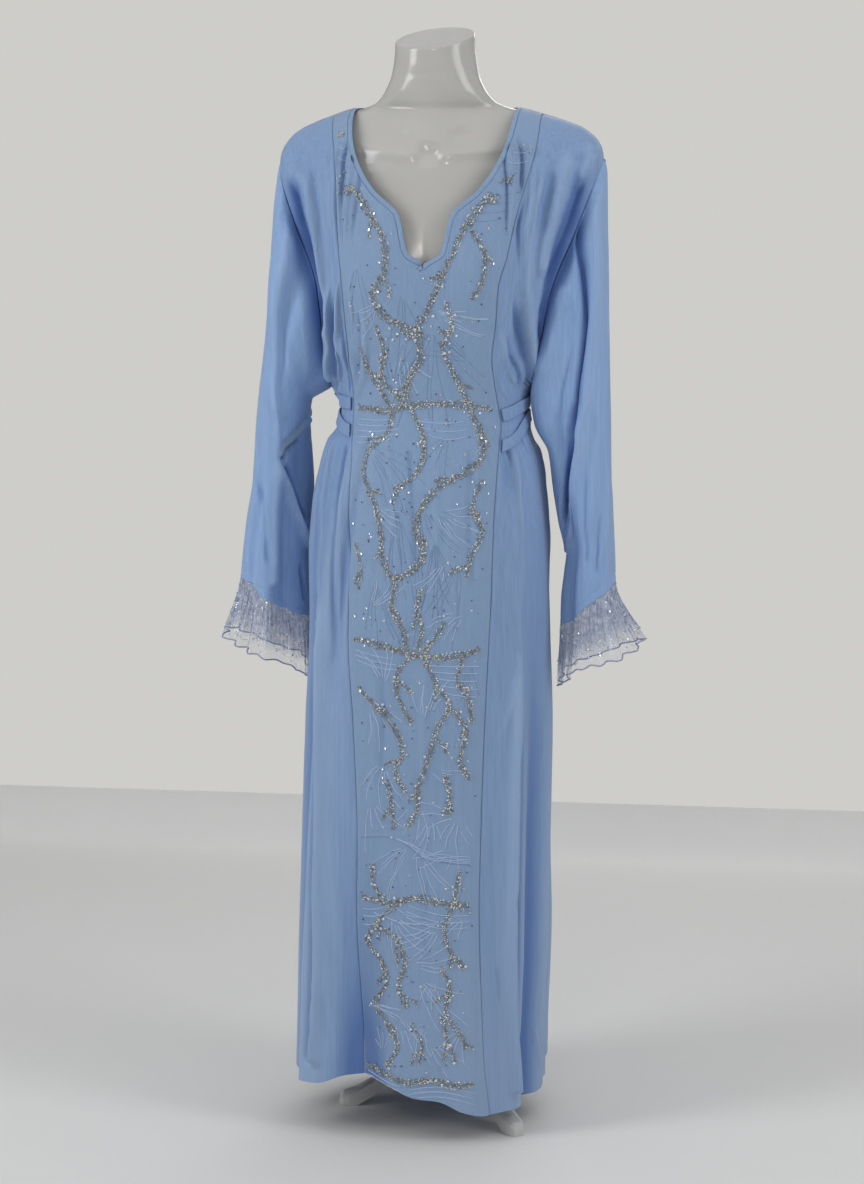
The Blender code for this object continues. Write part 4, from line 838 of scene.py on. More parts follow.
# Creases that the solids leave out. Each row is its line, as (degrees round from the front, height), then
# how far it stands out, its reach to the left and to the right in millimetres, and the shares over which
# its ends fade.
ARC = 0.165 * math.pi / 180
BODY_CREASES = (
    # bodice left pleats
    (((-53.7, 1.227), (-56.1, 1.185), (-58.7, 1.143), (-67.4, 1.093),
      (-73.8, 1.048)), 3.5, 8, 5, 0.25, 0.05),
    (((-60.3, 1.229), (-64.1, 1.179), (-69.0, 1.114), (-79.8, 1.063),
      (-82.0, 1.047)), 3.5, 8, 7, 0.3, 0.05),
    (((-58.2, 1.199), (-63.2, 1.157), (-68.8, 1.1), (-78.5, 1.047)), -3.5, 6, 6, 0.3, 0.05),
    (((-50.4, 1.2), (-54.9, 1.144), (-58.6, 1.094), (-63.3, 1.05)), -3.5, 7, 6, 0.3, 0.05),
    (((-44.9, 1.239), (-51.0, 1.136), (-55.8, 1.102), (-59.8, 1.05)), 3.0, 6, 5, 0.3, 0.05),
    (((-42.6, 1.186), (-47.5, 1.123), (-54.8, 1.073), (-58.2, 1.049)), -3.5, 6, 7, 0.3, 0.05),
    (((-38.5, 1.187), (-41.5, 1.124), (-47.2, 1.081), (-56.0, 1.048)), 2.5, 9, 10, 0.4, 0.05),
    # shoulder left streaks
    (((-71.6, 1.392), (-64.3, 1.323), (-62.3, 1.268), (-60.8, 1.227)), 1.1, 6, 6, 0.2, 0.2),
    (((-72.4, 1.381), (-65.2, 1.303), (-63.8, 1.238)), -1.3, 6, 6, 0.2, 0.3),
    (((-70.8, 1.406), (-60.4, 1.337), (-57.6, 1.261)), 0.8, 5, 5, 0.2, 0.3),
    (((-58.0, 1.420), (-52.0, 1.360), (-50.0, 1.290), (-50.5, 1.240)), 2.8, 4, 5, 0.15, 0.35),
    (((-62.0, 1.415), (-55.5, 1.355), (-53.0, 1.285), (-53.0, 1.225)), -3.0, 4, 4, 0.15, 0.35),
    (((-66.0, 1.412), (-58.8, 1.350), (-56.0, 1.290), (-55.5, 1.235)), 2.8, 4, 4, 0.15, 0.35),
    (((-50.0, 1.425), (-46.5, 1.370), (-45.5, 1.310), (-46.0, 1.250)), -2.2, 4, 5, 0.15, 0.35),
    # shoulder right streaks
    (((54.0, 1.424), (50.0, 1.370), (48.0, 1.300), (48.5, 1.240)), -2.4, 4, 4, 0.15, 0.35),
    (((58.0, 1.420), (53.0, 1.365), (51.0, 1.295), (51.5, 1.230)), 2.8, 4, 4, 0.15, 0.35),
    (((62.5, 1.416), (56.5, 1.355), (54.0, 1.285), (54.5, 1.220)), -3.2, 4, 4, 0.15, 0.35),
    (((66.5, 1.412), (60.5, 1.345), (57.5, 1.280), (57.5, 1.235)), 2.6, 4, 4, 0.15, 0.35),
    # bodice right
    (((68.7, 1.392), (61.5, 1.317), (60.2, 1.255), (60.1, 1.207), (64.8, 1.152), (70.1, 1.105),
      (80.4, 1.061)), 3.5, 12, 8, 0.2, 0.05),
    (((52.0, 1.201), (59.0, 1.152), (64.8, 1.11), (77.5, 1.066)), -4, 8, 7, 0.3, 0.05),
    (((46.3, 1.157), (52.8, 1.107), (66.6, 1.065)), 2.5, 7, 7, 0.3, 0.05),
    (((48.1, 1.09), (53.8, 1.069), (61.7, 1.047)), 1.5, 5, 5, 0.3, 0.05),
    (((48.9, 1.146), (60.4, 1.103), (71.4, 1.063)), -2.5, 5, 5, 0.3, 0.05),
    (((70.3, 1.371), (65.8, 1.317), (63.9, 1.262)), -2, 9, 9, 0.2, 0.3),
    (((79.1, 1.397), (73.4, 1.359), (68.3, 1.303), (66.8, 1.255), (65.8, 1.214)), 4, 12, 6, 0.15, 0.1),
    # fold beside the left armhole
    (((-74.5, 1.37), (-70.8, 1.343), (-67.6, 1.29), (-67.3, 1.23), (-66.2, 1.187), (-66.7, 1.159),
      (-70.1, 1.121)), 4, 7, 9, 0.15, 0.1),
    (((-75.9, 1.362), (-71.4, 1.316), (-69.7, 1.275), (-68.9, 1.229), (-67.7, 1.184),
      (-70.1, 1.135)), -9, 9, 9, 0.15, 0.1),
    (((-71.1, 1.351), (-66.9, 1.29), (-66.0, 1.237)), -1.5, 7, 7, 0.3, 0.3),
    # folds beside the right armhole
    (((76.8, 1.367), (71.5, 1.317), (69.3, 1.269), (68.6, 1.221), (68.7, 1.172),
      (71.5, 1.123)), -9, 8, 10, 0.15, 0.1),
    (((84.8, 1.403), (77.4, 1.37), (73.6, 1.34)), 2.8, 5, 5, 0.2, 0.3),
    (((87.2, 1.398), (80.9, 1.378), (78.7, 1.356)), 2.4, 4, 4, 0.2, 0.3),
    (((79.9, 1.392), (74.4, 1.356), (71.2, 1.329)), -2.5, 5, 5, 0.2, 0.3),
    # skirt left
    (((-65.8, 1.0), (-63.2, 0.937), (-60.6, 0.858), (-62.4, 0.782), (-55.7, 0.708)), 3, 8, 8, 0.1, 0.15),
    (((-53.8, 0.99), (-51.9, 0.94), (-49.3, 0.861), (-48.2, 0.761), (-45.8, 0.64)), -3, 6, 5, 0.05, 0.4),
    (((-49.7, 0.976), (-47.3, 0.935), (-45.0, 0.862), (-45.2, 0.762),
      (-41.7, 0.627)), 2.2, 5, 7, 0.05, 0.4),
    (((-72.3, 0.992), (-70.3, 0.936), (-69.5, 0.855), (-72.9, 0.772)), -2.5, 6, 7, 0.05, 0.3),
    (((-57.9, 0.783), (-55.9, 0.708), (-53.0, 0.609), (-50.1, 0.469), (-49.2, 0.366), (-46.7, 0.226),
      (-47.2, 0.148), (-47.6, 0.095)), 6.0, 4, 16, 0.15, 0.01),
    (((-61.9, 0.783), (-59.9, 0.708), (-57.0, 0.609), (-54.1, 0.469), (-53.2, 0.366), (-50.7, 0.226),
      (-51.2, 0.148), (-51.6, 0.095)), -6.0, 9, 5, 0.15, 0.01),
    (((-41.1, 0.398), (-37.4, 0.313), (-35.2, 0.219)), 1.2, 14, 14, 0.3, 0.3),
    (((-44.2, 0.216), (-41.3, 0.173), (-39.5, 0.13)), -1.2, 8, 8, 0.3, 0.3),
    # skirt right
    (((58.4, 0.985), (58.8, 0.967), (59.3, 0.948)), -2.5, 3, 3, 0.1, 0.6),
    (((69.1, 0.997), (72.2, 0.984), (73.7, 0.967)), -2.5, 3, 3, 0.1, 0.6),
    (((62.4, 0.989), (62.1, 0.95), (61.5, 0.881), (59.9, 0.797), (57.9, 0.713)), 2, 9, 9, 0.1, 0.4),
    (((52.8, 0.984), (49.9, 0.938), (48.0, 0.855)), 1.3, 6, 6, 0.1, 0.5),
    (((58.8, 0.727), (54.6, 0.665), (49.5, 0.617), (46.1, 0.589), (40.7, 0.555)), 1.5, 6, 6, 0.3, 0.3),
    (((58.5, 0.713), (54.4, 0.629), (52.9, 0.517), (52.7, 0.402), (51.7, 0.345), (52.1, 0.259),
      (53.5, 0.156), (55.8, 0.059)), 6.5, 15, 4, 0.15, 0.01),
    (((56.8, 0.629), (55.5, 0.516), (54.9, 0.401), (54.8, 0.257), (56.2, 0.154),
      (64.0, 0.056)), -8, 5, 12, 0.25, 0.01),
    (((43.9, 0.391), (45.9, 0.314), (47.7, 0.262), (48.6, 0.21)), 1.2, 5, 5, 0.3, 0.3),
    (((42.8, 0.262), (45.2, 0.224), (45.5, 0.189)), -1.5, 4, 4, 0.3, 0.3),
    (((77.9, 0.15), (82.2, 0.109), (85.3, 0.069)), 1.5, 5, 5, 0.3, 0.1),
    # panel
    (((-26.4, 1.006), (-14.2, 0.911), (-8.9, 0.801)), 1.1, 12, 12, 0.1, 0.4),
    (((-8.2, 0.993), (-1.0, 0.884), (0.5, 0.774)), -1.4, 10, 10, 0.1, 0.4),
    (((11.8, 0.994), (13.2, 0.884), (9.7, 0.774)), 1.2, 12, 10, 0.1, 0.4),
    (((34.6, 0.987), (31.1, 0.884), (32.4, 0.76)), -1.2, 10, 10, 0.1, 0.4),
    (((5.5, 0.718), (5.8, 0.578), (5.0, 0.451)), 1.3, 9, 9, 0.2, 0.3),
    (((-20.0, 0.716), (-16.3, 0.604), (-17.7, 0.477)), -1.2, 12, 12, 0.3, 0.3),
    (((10.6, 0.409), (8.5, 0.309), (11.7, 0.195)), -1.2, 12, 12, 0.3, 0.3),
    # back: gathers under the ties, long soft folds, and the pull across the shoulder blades
    (((101.0, 0.99), (99.0, 0.93), (97.0, 0.85), (98.0, 0.76)), 2.4, 7, 8, 0.1, 0.5),
    (((112.0, 0.98), (116.0, 0.90), (118.0, 0.80), (117.0, 0.66)), -2.8, 7, 8, 0.1, 0.5),
    (((124.0, 0.99), (122.0, 0.92), (121.0, 0.84)), 2.0, 6, 6, 0.1, 0.6),
    (((137.0, 0.99), (138.0, 0.91), (136.0, 0.80), (137.0, 0.62)), -3.0, 8, 7, 0.1, 0.5),
    (((153.0, 0.985), (154.0, 0.92), (156.0, 0.85)), 2.2, 6, 8, 0.1, 0.6),
    (((170.0, 0.99), (169.0, 0.90), (171.0, 0.78), (170.0, 0.68)), -2.6, 7, 7, 0.1, 0.5),
    (((-172.0, 0.985), (-171.0, 0.92), (-173.0, 0.83)), 2.3, 6, 6, 0.1, 0.6),
    (((-158.0, 0.99), (-157.0, 0.90), (-158.0, 0.79), (-156.0, 0.64)), -3.0, 8, 8, 0.1, 0.5),
    (((-143.0, 0.98), (-144.0, 0.91), (-143.0, 0.84)), 2.0, 6, 7, 0.1, 0.6),
    (((-129.0, 0.99), (-128.0, 0.88), (-130.0, 0.74)), -2.6, 8, 7, 0.1, 0.5),
    (((-114.0, 0.985), (-113.0, 0.92), (-115.0, 0.82), (-114.0, 0.72)), 2.4, 7, 7, 0.1, 0.5),
    (((-99.0, 0.98), (-98.0, 0.90), (-97.0, 0.81)), -2.2, 6, 7, 0.1, 0.6),
    (((104.0, 0.42), (106.0, 0.28), (107.0, 0.07)), 1.8, 16, 12, 0.4, 0.02),
    (((133.0, 0.50), (131.0, 0.30), (130.0, 0.07)), -1.8, 14, 14, 0.4, 0.02),
    (((176.0, 0.46), (178.0, 0.27), (177.0, 0.07)), 1.6, 14, 16, 0.4, 0.02),
    (((-150.0, 0.52), (-148.0, 0.33), (-149.0, 0.07)), -1.8, 14, 14, 0.4, 0.02),
    (((-108.0, 0.44), (-106.0, 0.26), (-107.0, 0.07)), 1.6, 15, 13, 0.4, 0.02),
    (((116.0, 1.35), (124.0, 1.25), (131.0, 1.15), (134.0, 1.07)), 2.2, 10, 12, 0.3, 0.15),
    (((128.0, 1.33), (140.0, 1.24), (147.0, 1.14), (149.0, 1.07)), -2.2, 9, 10, 0.3, 0.15),
    (((-118.0, 1.34), (-127.0, 1.24), (-133.0, 1.15), (-136.0, 1.07)), 2.0, 11, 10, 0.3, 0.15),
    (((-131.0, 1.31), (-142.0, 1.23), (-150.0, 1.13), (-152.0, 1.07)), -2.3, 9, 9, 0.3, 0.15),
    (((163.0, 1.20), (165.0, 1.13), (164.0, 1.07)), 1.8, 7, 7, 0.3, 0.1),
    (((-166.0, 1.22), (-168.0, 1.14), (-167.0, 1.07)), 1.8, 7, 8, 0.3, 0.1),
    (((178.0, 1.17), (177.0, 1.11), (178.0, 1.07)), -1.8, 6, 6, 0.3, 0.1),
    (((93.0, 1.06), (92.0, 1.03), (93.0, 1.00)), 1.6, 5, 6, 0.2, 0.2),
)


def chart(points):
    """Angle round the body's middle, as metres of arc, and height."""
    centre = np.interp(points[:, 2], BODY_RINGS["z"], BODY_RINGS["centre_x"])
    return np.degrees(np.arctan2(points[:, 0] - centre, -points[:, 1])) * ARC, points[:, 2]


# The valley that the armhole seam lies in: how far it draws the cloth in before and behind, and its reach on
# the body's side and on the sleeve's side. At a depth of HOLLOW_FULL the painted shade, a deeper blue put in
# the valley and the creases, is full, and folds calm down within SEAM_CALM of a seam.
VALLEY_FRONT, VALLEY_BACK = 0.016, 0.010
VALLEY_BODY, VALLEY_SLEEVE = 0.020, 0.060
HOLLOW_FULL = 0.013
SEAM_CALM = 0.014


def valley(up, distance, reach, front):
    """How far the cloth is drawn in beside the armhole seam; up is 0 at the underarm and 1 at the tip."""
    depth = VALLEY_FRONT if front else VALLEY_BACK
    return depth * smooth((up + 0.05) / 0.30) * smooth((0.97 - up) / 0.35) * (1 - smooth(distance / reach))


def dress_body(obj, seam_distance, drawn_in, seed):
    """Adds the small folds, the dip at each seam, the armhole's valley and the cloth's own unevenness."""
    points = points_of(obj)
    a, z = chart(points)
    out = crease_out(a, z, BODY_CREASES, ARC)
    out += uneven(points, (0.0007, 0.030, 5.0, seed), (0.0003, 0.011, 3.0, seed + 9))
    out *= smooth(seam_distance / SEAM_CALM)
    large = fold_out(a / ARC * math.pi / 180, z) * smooth((1.02 - z) / 0.06)
    # Painted shade and highlight for the material: positive where the valley draws the cloth in or a crease
    # sinks, negative on the crests.
    number(obj, "hollow", np.clip((np.abs(drawn_in) - out - 1.2 * large) / HOLLOW_FULL, -0.8, 1.0))
    out -= SEAM_DIP * bell(seam_distance / SEAM_REACH)
    push(obj, out)
    draw_in(obj, drawn_in)


def body_shell(name, grids, seams, valleys, seed, finish, slot, *nodes):
    """A body panel from one or two grids that share their first column below the notch."""
    points, faces, distance, depth = [], [], [], []
    for grid, seam, deep in zip(grids, seams, valleys):
        rows, columns = grid.shape[:2]
        faces += grid_faces(rows, columns, len(points))
        points += list(grid.reshape(-1, 3))
        distance += list(seam.reshape(-1))
        depth += list(deep.reshape(-1))
    obj = mesh_object(name, points, faces)
    number(obj, "seam", distance)
    number(obj, "drawn_in", depth)
    mend(obj, 0.00002)
    face_out(obj)
    dress_body(obj, numbers(obj, "seam"), numbers(obj, "drawn_in"), seed)
    thicken(obj, CLOTH)
    return finish_piece(obj, finish, slot, *nodes)


def face_out(obj, centre_x=0.0):
    """Turns the piece's faces so that they look away from the upright line through (centre_x, 0)."""
    votes = 0.0
    for polygon in obj.data.polygons:
        away = Vector((polygon.center.x - centre_x, polygon.center.y, 0))
        votes += polygon.normal.dot(away) * polygon.area
    if votes < 0:
        obj.data.flip_normals()


def seam_grid(grid, near, width):
    """Distance to the nearest seam over a grid, from its share of the panel's width."""
    return np.broadcast_to(near * width, grid.shape[:2])


def front_shell():
    width = 0.10
    across = np.concatenate(([0.0], across_values(width, 40)[3:]))
    grids = [sampled(lambda u, v: panel_point(side, u, v), across, FINE_LEVELS) for side in (-1, 1)]
    seams = [seam_grid(grid, 1 - across, width) for grid in grids]
    flat = [np.zeros(grid.shape[:2]) for grid in grids]
    return body_shell("robe_front_panel", grids, seams, flat, 3.0, PANEL_BLUE, BEADED, "front_panel")


def valley_grid(across, width, front):
    """The armhole's valley over a body panel whose last column is the armhole seam."""
    ups = (FINE_LEVELS - UNDERARM_Z) / (SHOULDER_Z - UNDERARM_Z)
    distance = (1 - across) * width
    deep = valley(ups[:, None], distance[None, :], VALLEY_BODY, front) * (ups > -0.05)[:, None]
    return deep if front else -deep


# The surface of each half, its width for the grid, its columns, its width at the armhole and its noise seed.
HALVES = {"front": (side_point, 0.12, 56, 0.10, 17.0), "back": (back_point, 0.25, 72, 0.22, 41.0)}


def half_shell(side, half, name, node_name):
    """A side front panel, or half the back."""
    point, width, columns, top_width, seed = HALVES[half]
    across = across_values(width, columns)
    grid = sampled(lambda u, v: point(side, u, v), across, FINE_LEVELS)
    seam = seam_grid(grid, np.minimum(across, 1 - across), width)
    deep = valley_grid(across, top_width, half == "front")
    return body_shell(name, [grid], [seam], [deep], seed + side, BLUE, PLAIN, node_name)


# Sleeves and frills
# Rows as for the body, but each line is (place round the sleeve, height).
SLEEVE_CREASES = {
    -1: (
        # left sleeve, front ridge
        (((0.364, 1.337), (0.33, 1.288), (0.308, 1.163), (0.294, 1.087), (0.238, 1.01), (0.241, 0.959),
          (0.24, 0.899), (0.224, 0.833), (0.219, 0.77)), 3.2, 9, 7, 0.08, 0.02),
        # elbow fold
        (((0.003, 1.02), (0.113, 0.998), (0.206, 0.978), (0.24, 0.956)), 5, 14, 3, 0.15, 0.15),
        (((0.087, 0.99), (0.187, 0.97), (0.224, 0.952)), -5, 3, 12, 0.15, 0.15),
        (((0.24, 0.956), (0.165, 0.904), (0.073, 0.851), (0.006, 0.823)), 4.5, 3, 12, 0.15, 0.1),
        (((0.208, 0.951), (0.126, 0.905), (0.045, 0.858)), -5, 9, 3, 0.15, 0.1),
        (((0.157, 1.029), (0.211, 1.012), (0.234, 0.997)), 1.2, 3, 3, 0.3, 0.3),
        (((0.415, 0.94), (0.285, 0.872), (0.236, 0.8)), -2, 8, 8, 0.2, 0.1),
        # shoulder fold
        (((0.257, 1.319), (0.209, 1.29), (0.157, 1.245), (0.123, 1.202)), 2.6, 4, 6, 0.1, 0.1),
        (((0.092, 0.808), (0.061, 0.77), (0.051, 0.748)), -3, 7, 7, 0.3, 0.05),
        # back of the sleeve
        (((0.60, 1.30), (0.64, 1.20), (0.66, 1.08)), 2.4, 9, 9, 0.2, 0.3),
        (((0.70, 1.25), (0.76, 1.14), (0.80, 1.05)), -2.6, 8, 9, 0.2, 0.3),
        (((0.94, 1.03), (0.84, 1.00), (0.72, 0.985), (0.60, 0.98)), 2.6, 7, 9, 0.2, 0.4),
        (((0.96, 0.99), (0.86, 0.955), (0.74, 0.94)), -2.8, 7, 7, 0.2, 0.4),
        (((0.90, 0.93), (0.80, 0.915), (0.68, 0.92)), 2.0, 7, 7, 0.3, 0.4),
        (((0.58, 0.95), (0.60, 0.86), (0.59, 0.76)), -1.8, 9, 9, 0.3, 0.05),
        (((0.76, 0.88), (0.74, 0.80), (0.75, 0.74)), 2.0, 8, 8, 0.3, 0.05),
    ),
    1: (
        # right sleeve, long valley
        (((0.36, 1.344), (0.327, 1.31), (0.327, 1.228), (0.306, 1.135), (0.29, 1.045), (0.184, 0.964),
          (0.123, 0.904), (0.036, 0.845)), -8, 6, 8, 0.08, 0.1),
        (((0.46, 1.365), (0.383, 1.317), (0.367, 1.227), (0.339, 1.135), (0.318, 1.044), (0.269, 0.991),
          (0.203, 0.934), (0.129, 0.876), (0.058, 0.834)), 3.5, 4, 16, 0.1, 0.05),
        (((0.259, 1.214), (0.183, 1.169), (0.14, 1.123), (0.109, 1.082)), 4, 10, 14, 0.15, 0.1),
        (((0.182, 1.207), (0.14, 1.169), (0.124, 1.13)), -7, 9, 7, 0.2, 0.15),
        (((0.239, 1.144), (0.204, 1.074), (0.163, 1.004)), 2, 10, 10, 0.3, 0.3),
        (((0.296, 0.956), (0.268, 0.879), (0.243, 0.81)), -1.5, 6, 6, 0.2, 0.1),
        (((0.442, 0.94), (0.388, 0.866), (0.317, 0.81)), 1.5, 5, 5, 0.2, 0.1),
        (((0.355, 0.895), (0.326, 0.843), (0.311, 0.8)), -1.5, 5, 5, 0.2, 0.1),
        (((0.343, 1.005), (0.322, 0.922), (0.266, 0.839)), 1.2, 8, 8, 0.2, 0.2),
        # back of the sleeve
        (((0.60, 1.32), (0.62, 1.22), (0.66, 1.10)), 2.3, 9, 8, 0.2, 0.3),
        (((0.72, 1.26), (0.77, 1.16), (0.79, 1.06)), -2.8, 8, 8, 0.2, 0.3),
        (((0.95, 1.04), (0.85, 1.015), (0.74, 1.00), (0.63, 1.00)), 2.4, 8, 8, 0.2, 0.4),
        (((0.95, 1.00), (0.86, 0.97), (0.77, 0.955)), -2.6, 7, 8, 0.2, 0.4),
        (((0.92, 0.95), (0.82, 0.93), (0.70, 0.93)), 2.0, 7, 7, 0.3, 0.4),
        (((0.57, 0.96), (0.58, 0.87), (0.57, 0.76)), 1.8, 9, 9, 0.3, 0.05),
        (((0.80, 0.90), (0.79, 0.82), (0.80, 0.75)), -2.0, 8, 8, 0.3, 0.05),
    ),
}
GIRTH = 0.26
FULL_TURN = 6.28
SLEEVE_LONG = 0.62
SLEEVE_COLUMNS = 144
CUFF_STITCH, STITCH_DIP, STITCH_REACH = 0.975, 0.0006, 0.0012
SLEEVE_DOWNS = np.array(
    [0.0, 0.002, 0.005, 0.010, 0.017] + list(np.linspace(0.025, 0.955, 165))
    + [0.965, 0.972, CUFF_STITCH, 0.978, 0.985, 0.993, 1.0]
)


def sleeve_shell(side, name, node_name):
    """A sleeve with its creases, and the points of its edge at the cuff."""
    places = np.arange(SLEEVE_COLUMNS) / SLEEVE_COLUMNS
    rows = len(SLEEVE_DOWNS)
    grid = sampled(lambda u, v: sleeve_point(side, u, v), places, SLEEVE_DOWNS)
    obj = mesh_object(name, grid.reshape(-1, 3), grid_faces(rows, SLEEVE_COLUMNS, 0, True))
    face_out(obj, side * 0.22)
    points = points_of(obj)
    out = np.zeros(len(points))
    for turn in (-GIRTH, 0.0, GIRTH):
        out += crease_out(np.tile(places * GIRTH, rows) + turn, points[:, 2], SLEEVE_CREASES[side], GIRTH)
    out += uneven(points, (0.0008, 0.032, 5.0, 60.0 + side), (0.0003, 0.012, 3.0, 71.0))
    down = np.repeat(SLEEVE_DOWNS, SLEEVE_COLUMNS)
    out *= smooth(down / 0.05)
    ups = np.tile((1 - np.cos(2 * math.pi * places)) / 2, rows)
    before = valley(ups, down * SLEEVE_LONG, VALLEY_SLEEVE, True)
    behind = -valley(ups, down * SLEEVE_LONG, VALLEY_SLEEVE, False)
    deep = np.where(np.tile(places <= 0.5, rows), before, behind)
    # Painted shade and highlight for the material, as on the body: deeper blue in the armhole's valley and
    # the creases, paler on the crests.
    number(obj, "hollow", np.clip((np.abs(deep) - out) / HOLLOW_FULL, -0.5, 1.0))
    out -= SEAM_DIP * bell(down * SLEEVE_LONG / SEAM_REACH)
    out -= STITCH_DIP * bell((down - CUFF_STITCH) * SLEEVE_LONG / STITCH_REACH)
    push(obj, out)
    draw_in(obj, deep)
    hem = points_of(obj)[-SLEEVE_COLUMNS:]
    thicken(obj, CLOTH)
    return finish_piece(obj, SLEEVE_PAINTED_LIGHT_BLUE, PLAIN, node_name), hem


FRILL_COLUMNS, FRILL_ROWS = 504, 26
FLARE_LEFT, FLARE_RIGHT = 0.024, 0.040
WAVE_OUT, GATHER_OUT = 0.0058, 0.0011


def frill_shell(side, name, node_name, hem):
    """The gathered frill, hung from the sleeve's own edge."""
    count, rows = FRILL_COLUMNS, FRILL_ROWS
    place = np.arange(count) / count
    ring = np.vstack([hem, hem[:1]])
    at = np.arange(len(ring)) / len(hem)
    root = np.stack([np.interp(place, at, ring[:, k]) for k in range(3)], axis=1)
    middle = hem.mean(0)
    away = root - middle
    away[:, 2] = 0
    away /= np.linalg.norm(away, axis=1)[:, None]
    flare = (FLARE_RIGHT if side > 0 else FLARE_LEFT) * ((1 - np.cos(2 * np.pi * place)) / 2) ** 0.7
    turn = 2 * np.pi * place
    wave = np.sin(RUFFLE_WAVES * turn + 2 * np.pi * 0.14 * np.sin(3 * turn))
    gather = np.sin(60 * turn + 2.0 * np.sin(5 * turn)) + 0.6 * np.sin(37 * turn + 1.3)
    length = RUFFLE_LENGTH * (1 + 0.05 * np.sin(3 * turn + 1) + 0.012 * np.sin(17 * turn))
    grid = []
    for i in range(rows):
        down = i / (rows - 1)
        waves = WAVE_OUT * wave * smooth(down * 1.15) * (1 - 0.35 * np.cos(np.pi * place) ** 2)
        spread = flare * down ** 1.3 + waves
        spread = spread + GATHER_OUT * gather * smooth(down * 4) * (1 - 0.55 * down) - 0.0005
        p = root + away * spread[:, None]
        p[:, 2] -= length * down
        grid.append(p)
    grid = np.array(grid)
    obj = mesh_object(name, grid.reshape(-1, 3), grid_faces(rows, count, 0, True))
    face_out(obj, middle[0])
    number(obj, "down", np.repeat(np.arange(rows) / (rows - 1), count))
    finish_piece(obj, LACE_CLOTH, LACY, node_name)
    return obj, grid


def lace(name):
    """Glitter lace on a sheer net: closed motifs, open net between them, and a dense band at the gathers."""
    m, tree, shader = new_material(name)
    net = net_threads(tree, 700.0, 0.13)
    filled = maths(tree, "GREATER_THAN", noise_node(tree, (120.0, 120.0, 120.0), 2.0, 0.6), 0.53)
    spark = maths(tree, "GREATER_THAN", noise_node(tree, (900.0, 900.0, 900.0), 1.0), 0.66)
    cover = maths(tree, "MAXIMUM", maths(tree, "MULTIPLY", net, 0.80), maths(tree, "MULTIPLY", filled, 0.80))
    cover = maths(tree, "MAXIMUM", cover, maths(tree, "MULTIPLY", spark, 0.95))
    sheer = maths(tree, "MULTIPLY", maths(tree, "SUBTRACT", 0.97, attribute(tree, "down")), 2.6)
    sheer = maths(tree, "MINIMUM", maths(tree, "MAXIMUM", sheer, 0.30), 1.0)
    cover = maths(tree, "ADD", maths(tree, "MULTIPLY", cover, 0.74), 0.22)
    tree.links.new(maths(tree, "MULTIPLY", cover, sheer), shader.inputs["Alpha"])
    colour = mix_colour(tree, filled, (0.30, 0.36, 0.52), (0.46, 0.52, 0.66))
    colour = mix_colour(tree, spark, colour, (0.85, 0.88, 0.95))
    tree.links.new(colour, shader.inputs["Base Color"])
    roughness = maths(tree, "SUBTRACT", 0.62, maths(tree, "MULTIPLY", spark, 0.42))
    tree.links.new(roughness, shader.inputs["Roughness"])
    tree.links.new(maths(tree, "MULTIPLY", spark, 0.7), shader.inputs["Metallic"])
    bump(tree, shader, maths(tree, "ADD", filled, net), 0.3, 0.0004)
    return m


LACE_THREADS, LACE_SEQUINS = 260, 150


def frill_spot(grid, row, column):
    """A point of a frill and the way out of it."""
    beside = grid[row, (column + 2) % grid.shape[1]]
    p, q, r = Vector(grid[row, column]), Vector(beside), Vector(grid[row + 1, column])
    n = (q - p).cross(r - p).normalized()
    away = p - Vector(grid[0].mean(0))
    return p, n if n.xy.dot(away.xy) > 0 else -n


def lace_trim(name_end, grid, seed):
    """Loose glitter threads and clear sequins scattered over a frill, denser near its gathers."""
    rng = random.Random(seed)
    rows, count = grid.shape[:2]
    threads, sequins = [], []
    for _ in range(LACE_THREADS):
        i, j = rng.random() ** 1.2 * (rows - 4) + 1, rng.uniform(0, count)
        way, line = rng.uniform(0, FULL_TURN), []
        for _ in range(6):
            p, n = frill_spot(grid, int(np.clip(i, 0, rows - 2)), int(j) % count)
            line.append(p + n * 0.0007)
            i, j = i + 0.8 * math.sin(way), j + 2.4 * math.cos(way)
            way += rng.uniform(-0.8, 0.8)
        threads.append(line)
    for _ in range(LACE_SEQUINS):
        p, n = frill_spot(grid, int(rng.random() ** 1.1 * (rows - 2)), rng.randrange(count))
        tilt = Vector((rng.gauss(0, 0.3), rng.gauss(0, 0.3), rng.gauss(0, 0.3)))
        size = rng.uniform(0.0012, 0.0019)
        sequins.append((p + n * 0.0008, n + tilt, size, rng.uniform(0, FULL_TURN), rng.random()))
    tube("frill_threads_" + name_end, threads, 0.00035, LACE_THREAD, LACY, 4)
    scattered("frill_sequins_" + name_end, disc_mesh(7), sequins, SEQUIN, LACY)


LACE_CLOTH = lace("glitter_lace")
LACE_THREAD = plain("lace_thread", (0.66, 0.70, 0.80), 0.35)
LACE_EDGE = plain("lace_edge", (0.36, 0.40, 0.53), 0.55)


def tube(name, lines, radius, finish, slot, sides=6, closed=False):
    """Round cords along lines of points, as one piece."""
    points, faces = [], []
    for line in lines:
        line = [Vector(p) for p in line]
        start = len(points)
        n = len(line)
        for i, p in enumerate(line):
            ahead = line[(i + 1) % n] if closed or i < n - 1 else p
            behind = line[i - 1] if closed or i > 0 else p
            way = (ahead - behind).normalized()
            aside = way.cross(Vector((0.13, -0.98, 0.11))).normalized()
            up = aside.cross(way)
            for k in range(sides):
                t = 2 * math.pi * k / sides
                points.append(p + (aside * math.cos(t) + up * math.sin(t)) * radius)
        if closed:
            for i in range(n):
                here, there = start + i * sides, start + (i + 1) % n * sides
                turns = [(k, (k + 1) % sides) for k in range(sides)]
                faces += [(here + a, here + b, there + b, there + a) for a, b in turns]
        else:
            faces += grid_faces(n, sides, start, True)
            faces.append(tuple(start + k for k in reversed(range(sides))))
            faces.append(tuple(start + (n - 1) * sides + k for k in range(sides)))
    obj = mesh_object(name, points, faces)
    mend(obj)
    return finish_piece(obj, finish, slot)


